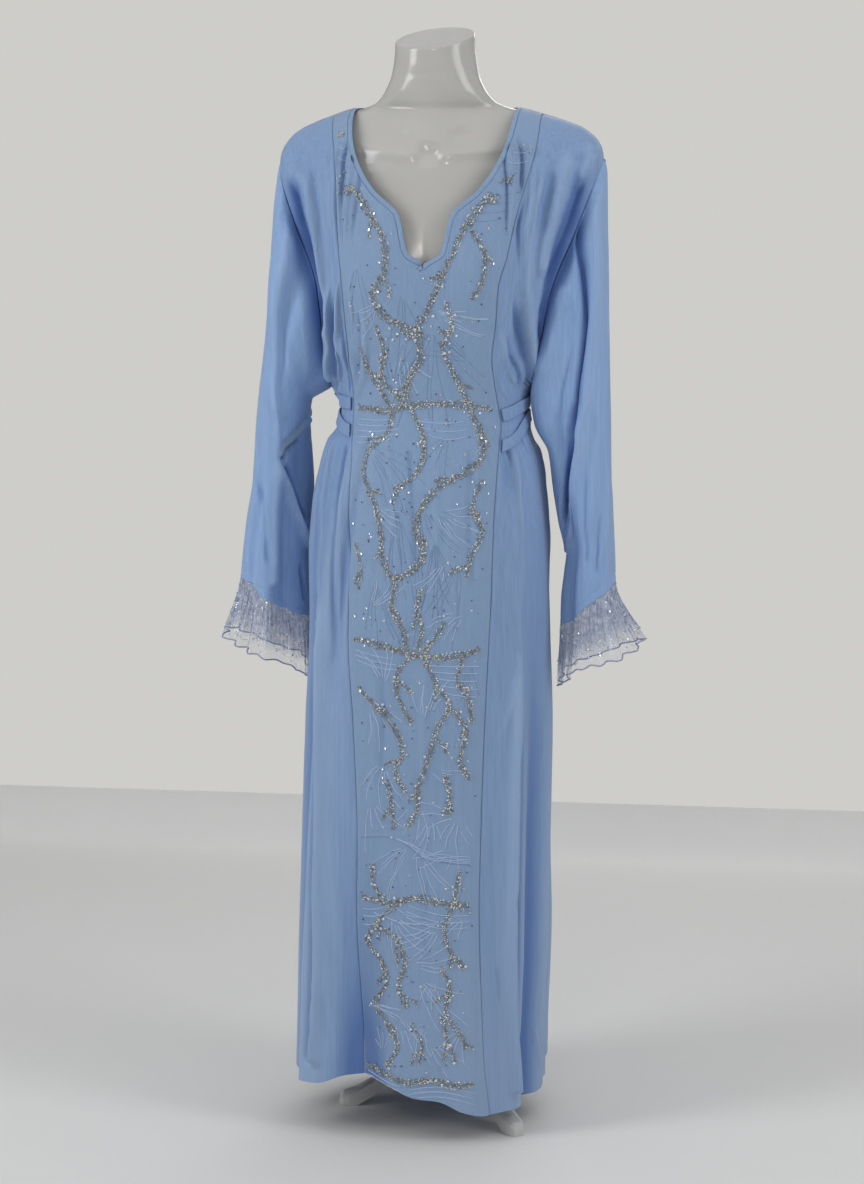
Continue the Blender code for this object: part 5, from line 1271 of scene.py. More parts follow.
# Ties and neck binding
# Sections across a tie (share of its width, height out of the cloth) and across the binding (metres both).
TIE_PROFILE = np.array((
    (-0.5, -0.0004), (-0.47, 0.0009), (-0.38, 0.0015), (0.0, 0.0011), (0.38, 0.0015), (0.47, 0.0009),
    (0.5, -0.0004),
))
BINDING_PROFILE = np.array((
    (0.0002, -0.0008), (0.0007, 0.0001), (0.0020, 0.0004), (0.0045, 0.0002), (0.0062, -0.0002),
    (0.0070, -0.0008),
))


def unit(vectors):
    return vectors / np.linalg.norm(vectors, axis=-1, keepdims=True)


def tie_shell(name, heights, node_name):
    """A flat tie with rolled edges, from seam to seam round the back."""
    rows = []
    for side, half, places in (
        (-1, "front", np.linspace(0.03, 1.0, 40)), (-1, "back", np.linspace(1.0, 0.0, 60)[1:]),
        (1, "back", np.linspace(0.0, 1.0, 60)[1:]), (1, "front", np.linspace(1.0, 0.03, 40)[1:]),
    ):
        point = HALVES[half][0]
        surface = functools.partial(point, side)
        from_side = (1 - places) if half == "front" else 0.0 * places
        height = along(heights, "left" if side < 0 else "right", from_side, "from_side")
        across, z = np.broadcast_arrays(places[:, None], height[:, None] + TIE_PROFILE[:, 0] * STRAP_WIDTH)
        p = surface(across, z)
        n = normal_of(surface, np.clip(across, 0.015, 0.985), z)
        n = outward(n, p - np.array([0, 0, 1]) * p[..., 2:])
        n[..., 2] = 0
        rows.append(p + unit(n) * (STRAP_LIFT + CLOTH + TIE_PROFILE[:, 1])[:, None])
    grid = np.concatenate(rows)
    obj = mesh_object(name, grid.reshape(-1, 3), grid_faces(len(grid), len(TIE_PROFILE)))
    face_out(obj)
    thicken(obj, CLOTH)
    return finish_piece(obj, BLUE, PLAIN, node_name)


def binding_line():
    """Points and outward ways round the neck opening, on the panels' edge."""
    levels = FINE_LEVELS[FINE_LEVELS >= NOTCH_LEVEL]
    back = np.linspace(0.0, NECK_HALF / SHOULDER_HALF, 26)[:-1]
    pieces = (
        (-1, panel_point, 0.0 * levels, levels[::-1], 0.03),
        (1, panel_point, 0.0 * levels[1:], levels[1:], 0.03),
        (1, back_point, back[::-1], SHOULDER_Z + 0.0 * back, 0.0),
        (-1, back_point, back[1:], SHOULDER_Z + 0.0 * back[1:], 0.0),
    )
    points, ways = [], []
    for side, point, across, level, depth in pieces:
        surface = functools.partial(point, side)
        p = surface(across, level)
        n = normal_of(surface, np.maximum(across, 0.01), np.minimum(level, SHOULDER_Z - 0.004))
        inside = np.broadcast_arrays(p[:, 0] * (1.0 if depth else 0.5), depth, NECK_HOLE_CENTRE.z)
        n = outward(n, p - np.stack(inside, axis=-1))
        crest = (level >= SHOULDER_Z) & (np.abs(p[:, 0]) >= NECK_HALF - 0.001)
        n[crest] = n[crest] * (0.3, 0, 0) + (0, 0, 1)
        points.append(p)
        ways.append(unit(n))
    return np.concatenate(points), np.concatenate(ways)


def binding_shell():
    """The narrow band round the neck, with mitred corners at the notch."""
    p, n = binding_line()
    tangent = unit(p - np.roll(p, 1, 0)) + unit(np.roll(p, -1, 0) - p)
    away = outward(unit(np.cross(tangent, n)), p - np.array(NECK_HOLE_CENTRE))
    mitre = 1 / np.maximum(0.7, np.linalg.norm(tangent, axis=-1, keepdims=True) / 2)
    aside, lift = BINDING_PROFILE[:, :1], BINDING_PROFILE[:, 1:]
    grid = p[:, None] - (away * mitre)[:, None] * aside + n[:, None] * lift
    columns = len(BINDING_PROFILE)
    last = (len(p) - 1) * columns
    faces = grid_faces(len(p), columns)
    faces += [(last + j, last + j + 1, j + 1, j) for j in range(columns - 1)]
    obj = mesh_object("robe_neck_binding", grid.reshape(-1, 3), faces)
    face_out(obj)
    thicken(obj, CLOTH)
    return finish_piece(obj, PANEL_BLUE, PLAIN, "neck_binding")


# Dress form and stand
FORM_COLUMNS = 120
FORM_LEVELS = ((0.80, 0.86, 10), (0.86, 1.30, 60), (1.30, 1.50, 90), (1.50, 1.55, 14))
# The neck's cut, as rings towards its middle: share of the rim's size, and drop below it.
NECK_CUT = ((0.985, -0.0012), (0.955, -0.0004), (0.93, 0.0004), (0.5, 0.0002))


def form_shell():
    """The form with rounder sections, a matt neck cut and light collar bones."""
    count = FORM_COLUMNS
    heights = sorted(set(np.concatenate([np.linspace(*span) for span in FORM_LEVELS])))
    angle, z = np.meshgrid(2 * math.pi * np.arange(count) / count, heights)
    columns = ("half_width", "front", "back", "centre_y", "fullness")
    half_width, front, back, centre_y, fullness = (along(FORM_RINGS, c, z) for c in columns)
    radius = ring_radius(angle, half_width, front, back, fullness)
    x, y = radius * np.sin(angle), centre_y - radius * np.cos(angle)
    y -= (0.8 * bust_out(x, z) + collar_out(x, z)) * np.maximum(0.0, np.cos(angle))
    slant = smooth((z - 1.475) / 0.06)
    points = list(np.stack([x, y, z + slant * (NECK_TILT_Y * y + NECK_TILT_X * x)], axis=-1).reshape(-1, 3))
    faces = grid_faces(len(heights), count, 0, True)
    start = (len(heights) - 1) * count
    rim = [Vector(p) for p in points[start:]]
    centre = sum(rim, Vector()) / count
    for share, drop in NECK_CUT:
        base = len(points)
        points += [(centre + (p - centre) * share - Vector((0, 0, drop)))[:] for p in rim]
        for j in range(count):
            k = (j + 1) % count
            faces.append((start + j, start + k, base + k, base + j))
        start = base
    faces.append(tuple(start + j for j in range(count)))
    faces.append(tuple(reversed(range(count))))
    obj = mesh_object("form_body", points, faces)
    mend(obj)
    finish_piece(obj, WHITE_PLASTIC, "gloss_white", "form_torso")
    obj.data.materials.append(NECK_MATT)
    for polygon in obj.data.polygons:
        if polygon.index >= len(heights) * count and polygon.normal.z > 0.5:
            polygon.material_index = 1
    return obj


def collar_out(x, z):
    """Collar bones: two low ridges that rise outward, and the hollow between them."""
    wide = np.abs(x)
    line = 1.383 + 0.13 * np.maximum(0.0, wide - 0.012)
    bone = 0.0055 * bell((z - line) / 0.010) * smooth((wide - 0.008) / 0.02) * smooth((0.12 - wide) / 0.05)
    above = -0.0045 * bell((z - line - 0.022) / 0.014)
    hollow = above * smooth((wide - 0.02) / 0.02) * smooth((0.11 - wide) / 0.05)
    notch = -0.004 * np.exp(-((z - 1.388) / 0.012) ** 2 - (x / 0.012) ** 2)
    return bone + hollow + notch


# Embroidery
def cast(tree, x, z):
    """The point of a piece met from the front at (x, z), and its normal."""
    hit = tree.ray_cast(Vector((x, -1.0, z)), Vector((0, 1, 0)))
    return (hit[0], hit[1]) if hit[0] is not None else (None, None)


CURVE_STEPS = 24


def curve_through(points, step):
    """Evenly spaced points on a smooth curve through the given ones."""
    p = [points[0]] + list(points) + [points[-1]]
    dense = []
    for a, b, c, d in zip(p, p[1:], p[2:], p[3:]):
        for i in range(CURVE_STEPS):
            t = i / CURVE_STEPS
            dense.append(tuple(
                0.5 * (2 * b[k] + (c[k] - a[k]) * t + (2 * a[k] - 5 * b[k] + 4 * c[k] - d[k]) * t * t
                       + (3 * b[k] - a[k] - 3 * c[k] + d[k]) * t ** 3)
                for k in range(2)
            ))
    dense.append(tuple(points[-1]))
    out, run, want = [dense[0]], 0.0, step
    for a, b in zip(dense, dense[1:]):
        length = math.dist(a, b)
        while length > 0 and run + length >= want:
            t = (want - run) / length
            out.append((a[0] + (b[0] - a[0]) * t, a[1] + (b[1] - a[1]) * t))
            want += step
        run += length
    return out


EDGE_GAP = 0.008


def panel_half(z):
    """Left and right limits of the embroidery on the panel, as x at a height."""
    left = np.interp(z, PANEL_SEAMS["z"], PANEL_SEAMS["left_x"]) + EDGE_GAP
    right = np.interp(z, PANEL_SEAMS["z"], PANEL_SEAMS["right_x"]) - EDGE_GAP
    return left, right


# Bead stems as (share across from left 0 to right 1, height); the last number is the stem's width in
# millimetres. The first rows are the bands, which have no shoots.
BAND_COUNT = 4
STEMS = (
    # waist, hip, knee and hem bands
    (((0.00, 1.036), (0.22, 1.033), (0.45, 1.041), (0.72, 1.043), (1.00, 1.036)), 12),
    (((0.00, 0.716), (0.24, 0.708), (0.50, 0.697), (0.78, 0.695), (1.00, 0.706)), 11),
    (((0.00, 0.352), (0.26, 0.345), (0.50, 0.354), (0.76, 0.347), (1.00, 0.342)), 11),
    (((0.02, 0.106), (0.22, 0.098), (0.40, 0.090), (0.62, 0.094), (0.80, 0.086), (1.00, 0.088)), 10),
    # bodice
    (((0.10, 1.332), (0.19, 1.300), (0.27, 1.268), (0.28, 1.225), (0.20, 1.196), (0.26, 1.165),
      (0.40, 1.152), (0.49, 1.142)), 10),
    (((0.86, 1.330), (0.76, 1.290), (0.70, 1.250), (0.64, 1.205), (0.55, 1.165), (0.49, 1.142),
      (0.52, 1.105), (0.42, 1.078),
      (0.38, 1.040)), 10),
    (((0.20, 1.150), (0.25, 1.112), (0.20, 1.078), (0.30, 1.058), (0.36, 1.040)), 8),
    (((0.80, 1.282), (0.90, 1.250), (0.93, 1.215), (0.86, 1.185)), 7),
    (((0.70, 1.185), (0.74, 1.150), (0.68, 1.122), (0.76, 1.085), (0.84, 1.040)), 8),
    (((0.06, 1.120), (0.12, 1.085), (0.20, 1.060), (0.26, 1.038)), 7),
    # hip
    (((0.28, 1.032), (0.24, 1.002), (0.10, 0.978), (0.06, 0.945), (0.16, 0.905), (0.22, 0.860),
      (0.24, 0.822), (0.32, 0.792),
      (0.30, 0.760), (0.40, 0.728), (0.42, 0.702)), 9),
    (((0.84, 1.036), (0.90, 1.002), (0.92, 0.968), (0.80, 0.948), (0.64, 0.930), (0.52, 0.902),
      (0.48, 0.868), (0.54, 0.836),
      (0.44, 0.812), (0.30, 0.800)), 10),
    (((0.42, 1.034), (0.50, 1.000), (0.50, 0.965), (0.42, 0.940), (0.28, 0.925)), 9),
    (((0.94, 0.938), (0.88, 0.900), (0.96, 0.868), (0.88, 0.830), (0.86, 0.800)), 8),
    (((0.52, 0.790), (0.50, 0.758), (0.54, 0.728), (0.50, 0.702)), 7),
    (((0.70, 0.742), (0.64, 0.720), (0.54, 0.700)), 7),
    (((0.02, 0.850), (0.06, 0.812), (0.02, 0.782)), 6),
    # knee
    (((0.46, 0.694), (0.34, 0.668), (0.36, 0.632), (0.48, 0.598)), 9),
    (((0.56, 0.694), (0.66, 0.656), (0.76, 0.626), (0.66, 0.592), (0.60, 0.552), (0.52, 0.516),
      (0.50, 0.478), (0.40, 0.452)), 9),
    (((0.86, 0.694), (0.82, 0.662), (0.92, 0.632), (0.94, 0.600)), 7),
    (((0.76, 0.626), (0.90, 0.592), (0.86, 0.548), (0.96, 0.518)), 8),
    (((0.02, 0.648), (0.16, 0.622), (0.32, 0.592), (0.38, 0.560), (0.32, 0.532), (0.42, 0.502)), 9),
    (((0.24, 0.520), (0.28, 0.482), (0.30, 0.448)), 8),
    (((0.74, 0.530), (0.78, 0.498), (0.74, 0.468)), 7),
    # hem
    (((0.10, 0.398), (0.12, 0.368), (0.24, 0.350)), 8),
    (((0.34, 0.346), (0.16, 0.318), (0.06, 0.288), (0.18, 0.262), (0.24, 0.232), (0.12, 0.202),
      (0.22, 0.172), (0.32, 0.142),
      (0.20, 0.108)), 8),
    (((0.14, 0.312), (0.32, 0.296), (0.40, 0.262), (0.34, 0.228), (0.42, 0.196)), 8),
    (((0.88, 0.392), (0.84, 0.348), (0.76, 0.312), (0.80, 0.280), (0.94, 0.252)), 9),
    (((0.72, 0.256), (0.80, 0.226), (0.76, 0.190), (0.88, 0.160), (0.94, 0.138)), 9),
    (((0.72, 0.186), (0.76, 0.150), (0.72, 0.118)), 7),
    (((0.46, 0.176), (0.54, 0.142), (0.50, 0.112)), 6),
)
SHOOT_SPACING = 0.085
SHOOT_TURN, SHOOT_BEND = (38, 62), (10, 60)
SHOOT_LENGTH = (0.016, 0.036)
SHOOT_WIDTH = 0.0052
BEAD_STEP, BEAD_ROW = 0.0027, 0.0027
BEAD_RADIUS = (0.00095, 0.00145)

# Fans of fine lines: where they start (share across, height), the first and last direction in degrees from
# straight right, how many lines, how far out they start and end in millimetres, and how much they bend.
PALE_FANS = (
    (0.60, 1.175, -38, -8, 6, 12, 62, 14), (0.24, 1.185, 205, 250, 4, 8, 42, -22),
    (0.40, 1.120, 250, 300, 4, 12, 52, 24),
    (0.14, 0.905, -60, -20, 4, 10, 40, 16), (0.62, 0.900, -70, -10, 7, 12, 56, 18),
    (0.12, 0.760, 20, 70, 5, 6, 46, 20),
    (0.70, 0.830, 225, 265, 4, 8, 40, -20), (0.86, 0.755, 180, 240, 5, 8, 38, 20),
    (0.10, 0.628, -80, -20, 5, 14, 58, -20), (0.22, 0.652, 60, 120, 5, 6, 40, 26),
    (0.56, 0.600, 60, 115, 6, 10, 52, -18),
    (0.22, 0.545, 215, 290, 5, 6, 56, 24), (0.86, 0.470, 150, 330, 9, 10, 50, 16),
    (0.60, 0.540, -50, -10, 4, 10, 44, 14),
    (0.52, 0.500, 235, 285, 4, 16, 60, -14), (0.10, 0.490, 250, 310, 4, 6, 52, 12),
    (0.62, 0.470, 240, 300, 5, 8, 44, -16),
    (0.44, 0.428, 195, 245, 5, 8, 62, 14), (0.50, 0.425, 270, 310, 5, 12, 60, 10),
    (0.84, 0.430, 200, 250, 4, 14, 42, -16),
    (0.30, 0.330, 250, 325, 6, 10, 54, 24), (0.74, 0.322, 175, 250, 8, 10, 64, -24),
    (0.96, 0.330, 190, 240, 4, 10, 40, 12),
    (0.46, 0.262, -30, 20, 4, 8, 48, 20), (0.52, 0.240, 280, 330, 4, 8, 76, 12),
    (0.66, 0.240, 235, 280, 4, 8, 46, 16),
    (0.06, 0.196, -20, 5, 5, 4, 42, -12), (0.30, 0.190, 280, 325, 6, 14, 62, -14),
    (0.60, 0.180, 215, 260, 4, 8, 50, 28),
    (0.60, 0.150, 290, 330, 3, 8, 52, 8), (0.92, 0.170, 215, 260, 4, 6, 44, 12),
    (0.16, 0.128, 60, 110, 4, 4, 24, 14),
)
# Dark fans: thin dark lines of painted shade, standing in for narrow pleat grooves.
GROOVE_SHADE_FANS = (
    (0.62, 1.150, 228, 312, 10, 12, 92, 8), (0.30, 1.060, 60, 110, 5, 10, 60, -12),
    (0.10, 1.240, 235, 285, 5, 10, 90, 10),
    (0.40, 1.200, 255, 290, 4, 8, 60, -8), (0.90, 1.100, 120, 170, 5, 8, 50, 12),
    (0.08, 0.985, -62, -12, 7, 14, 74, -20), (0.52, 0.905, -78, -20, 6, 16, 78, 24),
    (0.70, 1.000, 200, 250, 4, 8, 44, 18),
    (0.34, 0.900, 255, 285, 7, 10, 92, 4), (0.62, 0.860, 258, 284, 7, 8, 96, -5),
    (0.18, 0.800, 250, 288, 5, 8, 80, 8),
    (0.80, 0.830, 240, 275, 5, 8, 96, -12), (0.50, 0.900, 262, 278, 4, 10, 110, 6),
    (0.92, 0.690, 250, 275, 4, 10, 60, 8),
)
# Rows of narrow raised cords: left and right share, height at the left and the right, sag at the middle.
CORD_ROWS = (
    (0.01, 0.30, 1.020, 1.022, 0.002), (0.01, 0.31, 1.012, 1.015, 0.002), (0.01, 0.33, 1.004, 1.008, 0.002),
    (0.01, 0.30, 0.996, 1.001, 0.002), (0.02, 0.26, 0.988, 0.993, 0.001),
    (0.46, 0.80, 1.020, 1.019, 0.003), (0.48, 0.82, 1.011, 1.008, 0.004), (0.54, 0.80, 1.001, 0.998, 0.005),
    (0.01, 0.30, 0.700, 0.690, 0.001), (0.01, 0.34, 0.693, 0.682, 0.002), (0.02, 0.36, 0.686, 0.675, 0.003),
    (0.60, 0.98, 0.683, 0.681, 0.001), (0.60, 0.98, 0.674, 0.671, 0.001), (0.66, 0.97, 0.664, 0.660, 0.001),
    (0.70, 0.98, 0.654, 0.649, 0.001), (0.72, 0.97, 0.644, 0.638, 0.001),
    (0.02, 0.26, 0.334, 0.343, 0.003), (0.02, 0.30, 0.324, 0.336, 0.004), (0.03, 0.20, 0.312, 0.322, 0.004),
    (0.44, 0.98, 0.344, 0.330, 0.006), (0.42, 0.98, 0.335, 0.321, 0.007), (0.42, 0.96, 0.327, 0.312, 0.007),
    (0.03, 0.34, 0.098, 0.083, 0.001), (0.03, 0.36, 0.092, 0.076, 0.001), (0.42, 0.98, 0.079, 0.073, -0.008),
    (0.40, 0.98, 0.072, 0.064, -0.009), (0.40, 0.98, 0.065, 0.056, -0.009),
)
# The join of the overlay above the knee: a dark line of painted shade along the seam's groove, with a pale
# corded edge over its right half.
OVERLAY_SEAM = (
    (0.0, 0.436), (0.18, 0.439), (0.34, 0.436), (0.46, 0.424), (0.58, 0.409), (0.74, 0.405), (1.0, 0.400),
)
SEAM_CORDS = (0.0022, 0.0050, 0.0080, 0.0110)
# Cords across the straps beside the neck: side, height at the neck, height at the seam, sag, and pale (1) or
# dark (0); the dark ones are thin lines of painted groove shade.
STRAP_CORDS = (
    (1, 1.300, 1.296, 0.004, 0), (1, 1.312, 1.306, 0.004, 0), (1, 1.324, 1.318, 0.004, 0),
    (1, 1.336, 1.331, 0.004, 0),
    (1, 1.350, 1.346, 0.003, 0), (1, 1.364, 1.360, 0.003, 0), (1, 1.378, 1.374, 0.003, 1),
    (1, 1.390, 1.388, 0.002, 1),
    (-1, 1.404, 1.402, 0.002, 0), (-1, 1.396, 1.395, 0.002, 1), (-1, 1.388, 1.388, 0.002, 0),
    (-1, 1.380, 1.379, 0.003, 1),
    (-1, 1.371, 1.372, 0.003, 0),
)
# Small clusters of beads: side, share across the strap (0 neck, 1 seam), height, reach, how many.
STRAP_CLUSTERS = (
    (-1, 0.15, 1.413, 0.004, 22), (-1, 0.50, 1.414, 0.004, 22), (-1, 0.85, 1.413, 0.004, 22),
    (-1, 0.52, 1.338, 0.009, 60),
    (1, 0.35, 1.352, 0.008, 26), (1, 0.30, 1.325, 0.009, 40), (1, 0.62, 1.392, 0.010, 14),
    (-1, 0.75, 1.362, 0.010, 12),
)
NECK_CLEAR = 0.008


def strap_x(side, share, z):
    """x on a strap, from beside the binding (share 0) to the panel's seam (share 1)."""
    neck = np.interp(z, NECKLINE["z"], NECKLINE["x"]) + NECK_CLEAR
    seam = abs(np.interp(z, PANEL_SEAMS["z"], PANEL_SEAMS["right_x" if side > 0 else "left_x"])) - 0.002
    return side * (neck + (seam - neck) * share)


def panel_x(share, z):
    """x of a share across the embroidered part of the panel."""
    left, right = panel_half(z)
    return left + (right - left) * share


STRAP_LEVEL, STRAP_ROOM = 1.30, 0.006


def on_cloth(x, z):
    """Whether the embroidery may reach this place: inside the panel and clear of the neck."""
    left, right = panel_half(z)
    if z > STRAP_LEVEL:
        left -= STRAP_ROOM
        right += STRAP_ROOM
    neck = np.interp(z, NECKLINE["z"], NECKLINE["x"], left=0) + NECK_CLEAR
    return left <= x <= right and (z < NOTCH_LEVEL - 0.004 or abs(x) > neck)


def stem_lines(step):
    """The stems, then the short shoots that leave them to either side."""
    stems, shoots = [], []
    rng = random.Random(5)
    for row, (points, width) in enumerate(STEMS):
        line = curve_through([(panel_x(share, z), z) for share, z in points], step)
        stems.append((line, width / 1000))
        if row < BAND_COUNT:
            continue
        gap = max(4, int(SHOOT_SPACING / step))
        side = 1 if row % 2 else -1
        for at in range(gap // 2, len(line) - 2, gap):
            (x, z), (x2, z2) = line[at], line[at + 1]
            way = math.atan2(z2 - z, x2 - x) + side * math.radians(rng.uniform(*SHOOT_TURN))
            bend = -side * math.radians(rng.uniform(*SHOOT_BEND))
            length = rng.uniform(*SHOOT_LENGTH)
            path = [(x, z)]
            for _ in range(4):
                x, z = x + length / 4 * math.cos(way), z + length / 4 * math.sin(way)
                way += bend / 4
                path.append((x, z))
            shoots.append((curve_through(path, step), SHOOT_WIDTH))
            side = -side
    return stems + shoots


FAN_STEPS = 10


def fan_lines(fans, seed, longer):
    """Curved lines that fan out from each centre, unevenly."""
    rng = random.Random(seed)
    lines = []
    for share, z0, first, last, count, near, far, bend in fans:
        x0 = panel_x(share, z0)
        for i in range(count):
            way = math.radians(first + (last - first) * (i + rng.uniform(-0.22, 0.22)) / max(1, count - 1))
            start = near / 1000 * rng.uniform(0.8, 2.4)
            end = far / 1000 * longer * rng.uniform(0.55, 1.15)
            step = (end - start) / FAN_STEPS
            turn = math.radians(bend * rng.uniform(0.7, 1.3))
            x, z = x0 + start * math.cos(way), z0 + start * math.sin(way)
            points = [(x, z)]
            for k in range(FAN_STEPS):
                x, z = x + step * math.cos(way), z + step * math.sin(way)
                way += turn / 7 + 0.10 * math.sin(k * 1.1 + 2.3 * i)
                points.append((x, z))
            lines.append([p for p in points if on_cloth(*p)])
    return [line for line in lines if len(line) > 3]


def cord_rows():
    """The rows of raised cords, each with its sag."""
    rows = []
    for left, right, z_left, z_right, sag in CORD_ROWS:
        row = []
        for t in np.linspace(0, 1, 14):
            z = z_left + (z_right - z_left) * t - sag * 4 * t * (1 - t)
            row.append((panel_x(left + (right - left) * t, z), z))
        rows.append(row)
    return rows


def strap_rows(wanted):
    """The cords across the straps, of the kind that is wanted."""
    rows = []
    for side, z_neck, z_seam, sag, kind in STRAP_CORDS:
        if kind == wanted:
            shares = np.linspace(0.06, 0.96, 9)
            heights = [z_neck + (z_seam - z_neck) * t - sag * math.sin(math.pi * t * 1.4) for t in shares]
            rows.append([(strap_x(side, t, z), z) for t, z in zip(shares, heights)])
    return rows


def seam_rows():
    """The overlay's seam, and the cords that run just above its right half."""
    line = curve_through([(panel_x(share, z), z) for share, z in OVERLAY_SEAM], 0.004)
    cords = []
    for lift in SEAM_CORDS:
        tail = line[int(len(line) * (0.30 + 3 * lift)):]
        cords.append([
            (x, z + lift * smooth(i / 12) + 0.0006 * math.sin(i * 0.9 + lift * 900))
            for i, (x, z) in enumerate(tail)
        ])
    return line, cords


def bead_mesh():
    """A faceted bead of unit radius."""
    work = bmesh.new()
    bmesh.ops.create_icosphere(work, subdivisions=1, radius=1.0)
    points = np.array([v.co[:] for v in work.verts])
    faces = [tuple(v.index for v in f.verts) for f in work.faces]
    work.free()
    return points, faces


def disc_mesh(sides):
    """A cupped sequin of unit radius."""
    turns = [2 * math.pi * k / sides for k in range(sides)]
    points = [(0, 0, -0.10)] + [(math.cos(turn), math.sin(turn), 0.06) for turn in turns]
    faces = [(0, 1 + k, 1 + (k + 1) % sides) for k in range(sides)]
    return np.array(points), faces


def scattered(name, shape, places, finish, slot):
    """Many small copies of a shape as one piece. Each place is (point, normal, size, turn, tone)."""
    base, base_faces = shape
    points, faces, tones = [], [], []
    for p, n, size, turn, tone in places:
        axis = Vector(n).normalized()
        aside = axis.cross(Vector((math.cos(turn), 0.2, math.sin(turn)))).normalized()
        up = axis.cross(aside)
        m = np.array([aside[:], up[:], axis[:]])
        start = len(points)
        points += list(base @ m * size + np.array(p[:]))
        faces += [tuple(start + k for k in f) for f in base_faces]
        tones += [tone] * len(base)
    obj = mesh_object(name, points, faces)
    number(obj, "tone", tones)
    obj.data.shade_flat()
    return finish_piece(obj, finish, slot)


def crystal(name, stops, rough, metallic):
    """Beads whose tone varies from one to the next."""
    m, tree, shader = new_material(name)
    tree.links.new(ramp(tree, attribute(tree, "tone"), stops), shader.inputs["Base Color"])
    shader.inputs["Roughness"].default_value = rough
    shader.inputs["Metallic"].default_value = metallic
    shader.inputs["Specular IOR Level"].default_value = 0.8
    bump(tree, shader, noise_node(tree, (1400.0, 1400.0, 1400.0), 1.0), 0.2, 0.0003)
    return m


BEAD_TONES = (
    (0.0, (0.16, 0.18, 0.20)), (0.35, (0.36, 0.37, 0.36)), (0.75, (0.55, 0.55, 0.50)), (1.0,
    (0.92, 0.91, 0.86)),
)
BEAD = crystal("crystal_beads", BEAD_TONES, 0.22, 0.15)
DARK_BEAD = crystal("dark_beads", ((0.0, (0.05, 0.07, 0.12)), (1.0, (0.12, 0.15, 0.22))), 0.3, 0.3)
SEQUIN = crystal("clear_sequins", ((0.0, (0.45, 0.55, 0.70)), (1.0, (0.95, 0.97, 1.0))), 0.10, 0.55)
THREAD_PALE = plain("thread_pale", (0.51, 0.63, 0.82), 0.40)
# Dark thread: painted shade of thin grooves, for the dark fans, the dark strap lines and the overlay's seam.
GROOVE_SHADE_THREAD = plain("painted_groove_shade", (0.190, 0.285, 0.475), 0.60)
CORD_BLUE = plain("cord_blue", (0.42, 0.55, 0.76), 0.50)
# Painted shade: a dark strip under the bead rows, for the shade between the beads.
BEAD_GAP_SHADE_PAINT = plain("bead_gap_shade", (0.205, 0.275, 0.385), 0.60)


DOT_COUNT = 420
SEQUIN_SIZE, DOT_SEQUIN_SIZE, DOT_SIZE = (0.0016, 0.0024), (0.0012, 0.0020), (0.0009, 0.0014)
BEAD_SKIPPED, SEQUIN_SHARE = 0.13, 0.09


